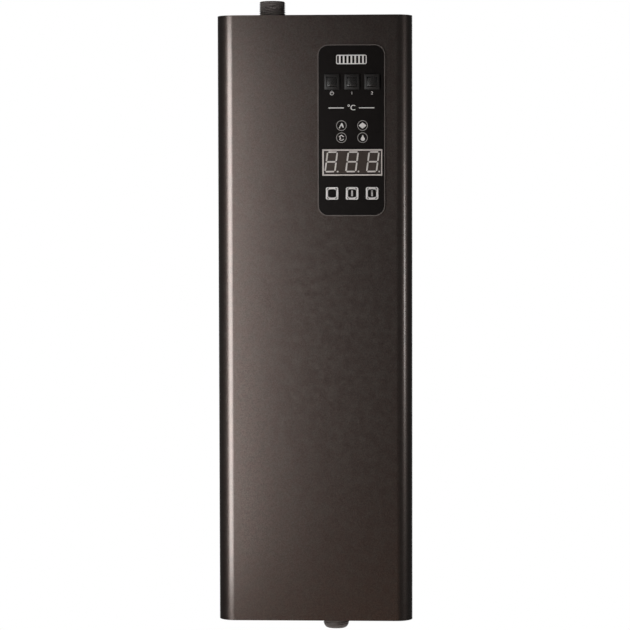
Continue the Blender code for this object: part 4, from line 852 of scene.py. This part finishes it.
def build_fascia():
    """The dark film with its holes, and a thin grey rim round it whose lighter grey is painted highlight on
    the film's edge.
    """
    outlines = [fascia_outline()]
    for index in SWITCHES:
        centre = middle_of(f"rocker_housing_{index}")
        size = BODY_WIDTH + 2 * GAP, BODY_HEIGHT + 2 * GAP
        outlines.append(rounded((centre.x, centre.z), *size, WINDOW_CORNER, steps=2))
        centre = middle_of(f"tact_switch_{index}")
        size = SWITCH_SIZE + 2 * GAP
        outlines.append(rounded((centre.x, centre.z), size, size, SWITCH_CORNER + GAP))
    low, high = display_box()
    window, span = (low + high) / 2, high - low
    size = span.x + 2 * GAP, span.z + 2 * GAP
    outlines.append(rounded((window.x, window.z), *size, WINDOW_CORNER, steps=2))
    bm = plate(outlines, FASCIA_HIGH.y, FASCIA_LOW.y)
    add_piece("fascia", bm, "black_fascia", replaces=("fascia_panel",), bevel=FILM_ROUND)
    # A thin ring round the film; its lighter grey is painted highlight on the film's edge
    outlines = [fascia_outline(RIM_WIDTH), fascia_outline(RIM_GAP)]
    rim = plate(outlines, FRONT - RIM_GAP, FASCIA_FRONT + RIM_DROP)
    add_piece("fascia_rim_highlight", rim, "black_fascia", material=RIM_HIGHLIGHT, bevel=FILM_ROUND)


def print_on(name, shapes, material, characters=()):
    """Marks on the fascia: outlines, the later ones holes in the first, and (text, size, x, z)."""
    back, front = FASCIA_FRONT + PRINT_SINK, FASCIA_FRONT - PRINT_STAND
    parts = [plate(outlines, back, front) for outlines in shapes]
    parts += [written(*character, back, front) for character in characters]
    add_piece(name, merged(parts), "white_plastic", material=material)


def icon_centres():
    lamps = [middle_of(f"indicator_lamp_{index}") for index in LAMPS]
    return [(lamp.x, lamp.z) for lamp in lamps]


def lozenge():
    """A wide diamond with cut corners."""
    nick = LOZENGE_NICK_SHARE
    points = []
    for across, up in ((1, 0), (0, 1), (-1, 0), (0, -1)):
        for turn in (-nick, nick):
            x = across * (1 - nick) - up * turn
            z = up * (1 - nick) + across * turn
            points.append((LOZENGE_HALF_WIDTH * x, LOZENGE_HALF_HEIGHT * z))
    return points


def drop():
    """A water drop: a circle drawn up to a point."""
    points = []
    for step in range(DROP_STEPS):
        turn = 2 * math.pi * step / DROP_STEPS
        rise = max(math.sin(turn), 0.0)
        across = DROP_RADIUS * math.cos(turn) * (1 - DROP_PINCH_SHARE * rise)
        up = DROP_CENTRE[1] + DROP_RADIUS * math.sin(turn) + DROP_PEAK * rise**3
        points.append((DROP_CENTRE[0] + across, up))
    return points


def build_icons():
    """Four ringed symbols: heating, heat exchanger, pump and water."""
    centres = icon_centres()
    radii = (RING_RADIUS, RING_RADIUS - RING_WIDTH)
    rings = [[circle(centre, radius, steps=56) for radius in radii] for centre in centres]
    print_on("icon_rings", rings, DIM_PRINT)
    heat, exchanger, pump, water = centres
    dot = (pump[0] - PUMP_DOT_LEFT, pump[1] - PUMP_DOT_DROP)
    shapes = [
        [moved(FLAME_OUTER + FLAME_INNER, heat)],
        [moved(lozenge(), exchanger)],
        [band(pump, PUMP_RADIUS, PUMP_WIDTH, *PUMP_ARC, steps=20)],
        [moved(PUMP_ROOF, pump)],
        [circle(dot, PUMP_DOT_RADIUS, steps=20)],
        [moved(drop(), water)],
    ]
    print_on("icon_symbols", shapes, ICON_PRINT)


def build_rocker_legends():
    """A power sign and two plain numbers under the rockers."""
    columns = [middle_of(f"rocker_housing_{index}") for index in SWITCHES]
    z = columns[0].z - LEGEND_DROP
    sign = columns[0].x
    low, high = SIGN_BAR
    shapes = [
        [band((sign, z), SIGN_RADIUS, SIGN_WIDTH, *SIGN_ARC)],
        [oblong(sign - SIGN_WIDTH / 2, z + low, sign + SIGN_WIDTH / 2, z + high)],
    ]
    numbers = [(str(number), LEGEND_SIZE, columns[number].x, z) for number in (1, 2)]
    print_on("rocker_legends", shapes, PRINT, numbers)


def build_radiator_mark():
    """A small radiator: a rounded frame with upright bars."""
    place = (FASCIA_X, GRILLE_Z)
    inner_w, inner_h = GRILLE_HALF_WIDTH - GRILLE_LINE, GRILLE_HALF_HEIGHT - GRILLE_LINE
    outer = rounded(place, 2 * GRILLE_HALF_WIDTH, 2 * GRILLE_HALF_HEIGHT, GRILLE_CORNER)
    shapes = [[outer, rounded(place, 2 * inner_w, 2 * inner_h, GRILLE_HOLE_CORNER)]]
    for index in range(GRILLE_BARS):
        x = FASCIA_X + (index - (GRILLE_BARS - 1) / 2) * GRILLE_PITCH
        left, right = x - GRILLE_BAR_HALF, x + GRILLE_BAR_HALF
        shapes.append([oblong(left, GRILLE_Z - inner_h, right, GRILLE_Z + inner_h)])
    print_on("radiator_mark", shapes, PRINT)


def build_unit_mark():
    """A degree sign between two rules."""
    shapes = []
    for side in (-1, 1):
        left, right = sorted((FASCIA_X + side * RULE_NEAR, FASCIA_X + side * RULE_FAR))
        shapes.append([oblong(left, UNIT_Z - RULE_HALF, right, UNIT_Z + RULE_HALF)])
    print_on("unit_mark", shapes, PRINT, [("°C", UNIT_SIZE, FASCIA_X, UNIT_Z)])


# Rocker switches
def build_rocker_switches():
    """Three like switches: one housing shape, copied to each place, and its rocker."""
    shape = housing_shape()
    first = middle_of("rocker_housing_1")
    for index in SWITCHES:
        node = f"rocker_housing_{index}"
        bm = shape.copy()
        bmesh.ops.translate(bm, vec=middle_of(node) - first, verts=bm.verts)
        add_piece(f"switch_housing_{index}", bm, "black_plastic", replaces=(node,), bevel=HOUSING_ROUND)
        build_rocker(index)
    shape.free()


def pivot_of(index):
    """The middle of a rocker's pins."""
    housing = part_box(f"rocker_housing_{index}")[0]
    centre = middle_of(f"rocker_housing_{index}")
    return Vector((centre.x, housing.y + ROCKER_SINK, centre.z))


def housing_shape():
    """The first switch: a bezel that slopes up to its mouth, on a plain body with two blades."""
    low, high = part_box("rocker_housing_1")
    centre = (low + high) / 2
    low.x += HOUSING_TRIM
    high.x -= HOUSING_TRIM
    seat = FASCIA_FRONT - GAP
    base = block((low.x, seat - BEZEL_STEP, low.z), (high.x, seat, high.z))
    slope = (high.x - low.x - CAVITY_WIDTH) / 2 - MOUTH_EDGE
    hood = block((low.x, low.y, low.z), (high.x, seat - BEZEL_STEP, high.z), slope)
    bm = boolean(base, hood, "UNION")
    half_w, half_h = BODY_WIDTH / 2, BODY_HEIGHT / 2
    start = (centre.x - half_w, seat - BEZEL_STEP / 2, centre.z - half_h)
    bm = boolean(bm, block(start, (centre.x + half_w, high.y - BLADE_LENGTH, centre.z + half_h)), "UNION")
    for side in (-1, 1):
        z = centre.z + side * BLADE_OFFSET
        start = (centre.x - BLADE_HALF_WIDTH, high.y - BLADE_ROOT, z - BLADE_HALF_THICKNESS)
        blade = block(start, (centre.x + BLADE_HALF_WIDTH, high.y, z + BLADE_HALF_THICKNESS))
        bm = boolean(bm, blade, "UNION")
    pivot = pivot_of(1)
    half_w, half_h = CAVITY_WIDTH / 2, CAVITY_HEIGHT / 2
    start = (centre.x - half_w, low.y - OVERRUN, centre.z - half_h)
    bm = boolean(bm, block(start, (centre.x + half_w, pivot.y + CAVITY_BACK, centre.z + half_h)))
    reach = ROCKER_WIDTH / 2 + TRUNNION_LENGTH + GAP
    ends = (pivot.x - reach, pivot.y, pivot.z), (pivot.x + reach, pivot.y, pivot.z)
    bm = boolean(bm, rod(TRUNNION_RADIUS + GAP, *ends, sides=20))
    bmesh.ops.remove_doubles(bm, verts=bm.verts, dist=WELD)
    bmesh.ops.dissolve_limit(bm, angle_limit=FLAT_ANGLE, verts=bm.verts, edges=bm.edges)
    return bm


def rocker_section():
    """The rocker's outline as (depth, up): crowned face, round lips, and a back about its pin."""
    depth_at_lip = ROCKER_FACE - ROCKER_CROWN - ROCKER_LIP
    end = math.hypot(ROCKER_HALF, depth_at_lip)
    start = math.atan2(ROCKER_HALF, depth_at_lip)
    back = math.pi - math.acos(ROCKER_BACK / end)
    flat = ROCKER_HALF - ROCKER_LIP
    section = []
    for step in range(2 * ROCKER_STEPS_UP + 1):
        share = 1 - step / ROCKER_STEPS_UP
        section.append((-ROCKER_FACE + ROCKER_CROWN * share**2, flat * share))
    lip = arc((-depth_at_lip, -flat), ROCKER_LIP, 180, 270, ROCKER_STEPS_LIP)[1:]
    turns = [start + (back - start) * step / ROCKER_STEPS_UP for step in range(1, ROCKER_STEPS_UP + 1)]
    lower = lip + [(-end * math.cos(turn), -end * math.sin(turn)) for turn in turns]
    return section + lower + [(depth, -up) for depth, up in reversed(lower)]


def build_rocker(index):
    """A softly crowned rocker that turns on two pins, with round edges to its face."""
    section = rocker_section()
    depth_at_lip = ROCKER_FACE - ROCKER_CROWN - ROCKER_LIP
    lip_reach = ROCKER_LIP + ROCKER_CROWN
    lean = [min(max((-depth_at_lip - depth) / lip_reach, 0.0), 1.0) for depth, _ in section]
    half = ROCKER_WIDTH / 2
    rings = []
    for step in range(2 * ROCKER_STEPS_ACROSS + 1):
        share = step / ROCKER_STEPS_ACROSS - 1
        fall = ROCKER_CROWN_SIDE * share**2
        rings.append([(half * share, depth + fall * ease, up) for (depth, up), ease in zip(section, lean)])
    bm = bmesh.new()
    rows = ring_strip(bm, rings, closed=False)
    for row in (rows[0], rows[-1]):
        bm.faces.new(row)
    bmesh.ops.recalc_face_normals(bm, faces=bm.faces)
    rim = []
    for edge in bm.edges:
        first, second = (vert.co for vert in edge.verts)
        side = min(abs(first.x), abs(second.x)) > half - TINY
        if side and max(first.y, second.y) < -depth_at_lip + TINY:
            rim.append(edge)
    bmesh.ops.bevel(bm, geom=rim, offset=ROCKER_FILLET, segments=4, profile=0.5, affect="EDGES")
    reach = half + TRUNNION_LENGTH
    bm = boolean(bm, rod(TRUNNION_RADIUS, (-reach, 0, 0), (reach, 0, 0), sides=20), "UNION")
    turn = Matrix.Translation(pivot_of(index)) @ Matrix.Rotation(-ROCKER_TILT, 4, "X")
    bmesh.ops.transform(bm, matrix=turn, verts=bm.verts)
    node = f"rocker_{index}"
    body = f"rocker_{index}_body"
    add_piece(f"rocker_paddle_{index}", bm, "black_plastic", body, PADDLE, replaces=(node,))


# Push buttons
def cap_outline(grow=0.0):
    """Straight sides, and a top and bottom that bulge."""
    low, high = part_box("button_cap_1")
    half_w = (high.x - low.x) / 2 + grow
    half_h = (high.z - low.z) / 2 - CAP_BULGE + grow
    shares = [1 - step / CAP_STEPS for step in range(2 * CAP_STEPS + 1)]
    upper = [(half_w * share, half_h + CAP_BULGE * (1 - share**2)) for share in shares]
    return upper + [(-across, -up) for across, up in upper]


def build_buttons():
    """Square bodies with a groove in each corner, each groove's floor black as painted shade, and a
    barrel-shaped cap that slides in.
    """
    for index in SWITCHES:
        node = f"tact_switch_{index}"
        low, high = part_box(node)
        centre = (low + high) / 2
        place = (centre.x, centre.z)
        bm = plate([rounded(place, SWITCH_SIZE, SWITCH_SIZE, SWITCH_CORNER)], high.y, low.y)
        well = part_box(f"button_cap_{index}")[1].y + CAP_WELL
        bm = boolean(bm, plate([moved(cap_outline(CAP_CLEARANCE), place)], well, low.y - OVERRUN))
        tools, shade_floors = [], []
        for across, up, start in ((1, 1, 0), (-1, 1, 90), (-1, -1, 180), (1, -1, 270)):
            spot = (centre.x + across * GROOVE_ACROSS, centre.z + up * GROOVE_UP)
            groove = band(spot, GROOVE_RADIUS, GROOVE_WIDTH, start, start + 90, steps=12)
            tools.append(plate([groove], low.y + GROOVE_DEPTH, low.y - OVERRUN))
            # A black plate deep in each groove: painted shade in the groove
            shade_floors.append(plate([groove], low.y + GROOVE_DEPTH, low.y + GROOVE_SHADE_FLOOR))
        bm = boolean(bm, merged(tools))
        add_piece(f"button_groove_shade_{index}", merged(shade_floors), "black_plastic", material=CAP_BLACK)
        add_piece(f"button_frame_{index}", bm, "white_plastic", replaces=(node,), bevel=SWITCH_ROUND)
        build_cap(index, low.y - CAP_PROUD)


def build_cap(index, front):
    """A cap and, on the second and third, its upright bars."""
    node = f"button_cap_{index}"
    low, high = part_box(node)
    place = ((low.x + high.x) / 2, (low.z + high.z) / 2)
    bm = plate([moved(cap_outline(-CAP_TRIM), place)], high.y, front)
    body = f"button_{index}_body"
    add_piece(f"cap_{index}", bm, "black_plastic", body, CAP_BLACK, replaces=(node,), bevel=CAP_ROUND)
    whole = (-CAP_MARK_END, CAP_MARK_END)
    lower, upper = (-CAP_MARK_END, CAP_MARK_BREAK[0]), (CAP_MARK_BREAK[1], CAP_MARK_END)
    left, right = place[0] - CAP_MARK_HALF_WIDTH, place[0] + CAP_MARK_HALF_WIDTH
    parts = []
    for start, end in {2: [whole], 3: [lower, upper]}.get(index, []):
        bar = oblong(left, place[1] + start, right, place[1] + end)
        parts.append(plate([bar], front + PRINT_SINK, front - PRINT_STAND))
    if parts:
        add_piece(f"cap_mark_{index}", merged(parts), "white_plastic", body, CAP_PRINT)


# Display
def segment_outlines(x, z):
    """Seven slanted bars of one digit and its point."""
    half_w = DIGIT_WIDTH / 2 - SEGMENT_WIDTH / 2
    half_h = (DIGIT_HEIGHT - SEGMENT_WIDTH) / 2
    bars = [((-half_w, level * half_h), (half_w, level * half_h)) for level in (1, 0, -1)]
    bars += [((side * half_w, end * half_h), (side * half_w, 0)) for side in (-1, 1) for end in (1, -1)]
    outlines = []
    for start, end in bars:
        start, end = Vector(start), Vector(end)
        along = (end - start).normalized()
        aside = Vector((-along.y, along.x)) * SEGMENT_WIDTH / 2
        tip = along * SEGMENT_WIDTH / 2
        first, last = start + along * SEGMENT_BREAK, end - along * SEGMENT_BREAK
        left, right = [first + tip + aside, last - tip + aside], [last - tip - aside, first + tip - aside]
        corners = [first, *left, last, *right]
        outlines.append([(x + p.x + p.y * math.tan(DIGIT_SLANT), z + p.y) for p in corners])
    outlines.append(circle((x + POINT_OFFSET, z - half_h), POINT_RADIUS, steps=24))
    return outlines


def build_display():
    """A pale frame with a dark well whose black is painted shade round the filter, and a smoked filter in it
    with three unlit digits.
    """
    low, high = display_box()
    bm = block(low, high)
    mouth = low + Vector((DISPLAY_RIM_LEFT, -OVERRUN, DISPLAY_RIM))
    floor = Vector((high.x - DISPLAY_RIM_SIDE, low.y + DISPLAY_RECESS, high.z - DISPLAY_RIM))
    bm = boolean(bm, block(mouth, floor))
    add_piece(
        "display_frame",
        bm,
        "white_plastic",
        material=FRAME_GREY,
        replaces=("display_module",),
        bevel=DISPLAY_ROUND,
    )
    # The well's black is painted shade: it darkens the gap between the frame and the filter
    bm = block((mouth.x, MODULE_LOW.y + WELL_FLOOR, mouth.z), floor)
    add_piece("display_well_shade", bm, "smoked_filter", material=CAP_BLACK)
    front = FILTER_FRONT + SEGMENT_STAND
    low = Vector((mouth.x + FILTER_GAP, front, mouth.z + FILTER_GAP))
    high = Vector((floor.x - FILTER_GAP, MODULE_LOW.y + WELL_FLOOR, floor.z - FILTER_GAP_TOP))
    bm = block(low, high)
    add_piece("display_filter", bm, "smoked_filter", replaces=("display_face",), bevel=FILTER_ROUND, steps=2)
    centre = middle_of("display_module")
    parts = []
    for index in (-1, 0, 1):
        for outline in segment_outlines(centre.x + index * DIGIT_PITCH, centre.z + DIGIT_RISE):
            parts.append(plate([outline], front + SEGMENT_SINK, FILTER_FRONT))
    add_piece("display_segments", merged(parts), "smoked_filter", material=SEGMENT)


# Floor, backdrop, light and camera
def build_stage():
    """A pale floor and backdrop that cameras and mirrors see as white, behind the boiler only."""
    for name, size, place, tilt in STAGE:
        bm = bmesh.new()
        bmesh.ops.create_grid(bm, x_segments=4, y_segments=4, size=size / 2)
        obj = scratch(name, mesh_of(name, bm))
        obj.location = place
        obj.rotation_euler.x = math.radians(tilt)
        n = Nodes(name)
        grain = n.noise(6.0)
        tone = n.ramp(grain, (0.3, (0.79, 0.79, 0.79)), (0.7, (0.81, 0.81, 0.81)))
        rough = n.ramp(grain, (0.3, 0.85), (0.7, 0.95))
        n.finish(tone, rough, n.bump(grain, strength=0.02, distance=0.001))
        rays = n.node("ShaderNodeLightPath").outputs
        seen = rays["Is Camera Ray"]
        for ray in ("Is Glossy Ray", "Is Transmission Ray"):
            seen = n.node("ShaderNodeMath", {0: seen, 1: rays[ray]}, operation="MAXIMUM").outputs["Value"]
        glow = n.node("ShaderNodeEmission", {"Strength": 1.0}).outputs["Emission"]
        shown = n.node("ShaderNodeMixShader", {"Fac": seen, 1: n.shader.outputs["BSDF"], 2: glow})
        n.feed(n.tree.nodes["Material Output"].inputs["Surface"], shown.outputs["Shader"])
        obj.data.materials.append(n.material)


def build_world():
    """White to the camera, and a soft dim fill to everything else."""
    world = bpy.data.worlds.new("studio")
    bpy.context.scene.world = world
    world.use_nodes = True
    tree = world.node_tree
    rays = tree.nodes.new("ShaderNodeLightPath").outputs
    strength = tree.nodes.new("ShaderNodeMapRange")
    strength.inputs["To Min"].default_value = FILL_STRENGTH
    strength.inputs["To Max"].default_value = 1.0
    tree.links.new(rays["Is Camera Ray"], strength.inputs["Value"])
    background = tree.nodes["Background"]
    background.inputs["Color"].default_value = (1, 1, 1, 1)
    tree.links.new(strength.outputs["Result"], background.inputs["Strength"])


def build_lights():
    """A soft strip close on the left, a far one on the right, and a warm glow from below."""
    for name, (place, aim, width, height, power, colour) in LIGHTS.items():
        data = bpy.data.lights.new(name, "AREA")
        data.shape = "RECTANGLE"
        data.size = width
        data.size_y = height
        data.energy = power
        data.color = colour
        obj = scratch(name, data)
        obj.location = place
        obj.rotation_euler = (Vector(aim) - Vector(place)).to_track_quat("-Z", "Y").to_euler()


def build_camera():
    level, rise = math.cos(CAMERA_ELEVATION), math.sin(CAMERA_ELEVATION)
    back = Vector((math.sin(CAMERA_AZIMUTH) * level, -math.cos(CAMERA_AZIMUTH) * level, rise))
    right = Vector((math.cos(CAMERA_AZIMUTH), math.sin(CAMERA_AZIMUTH), 0))
    up = back.cross(right)
    turned = Matrix((right, up, back)).transposed() @ Matrix.Rotation(CAMERA_ROLL, 3, "Z")
    data = bpy.data.cameras.new("camera")
    data.sensor_width = CAMERA_SENSOR
    data.lens = CAMERA_LENS
    data.shift_x, data.shift_y = CAMERA_SHIFT
    obj = scratch("camera", data)
    place = CAMERA_TARGET + back * CAMERA_DISTANCE
    obj.matrix_world = Matrix.Translation(place) @ turned.to_4x4()
    bpy.context.scene.camera = obj


dress_cad_nodes()
build_cover()
build_screws()
build_grommets()
build_stubs()
build_fascia()
build_icons()
build_rocker_legends()
build_radiator_mark()
build_unit_mark()
build_rocker_switches()
build_buttons()
build_display()
build_stage()
build_world()
build_lights()
build_camera()
bpy.context.scene.view_settings.view_transform = "Standard"
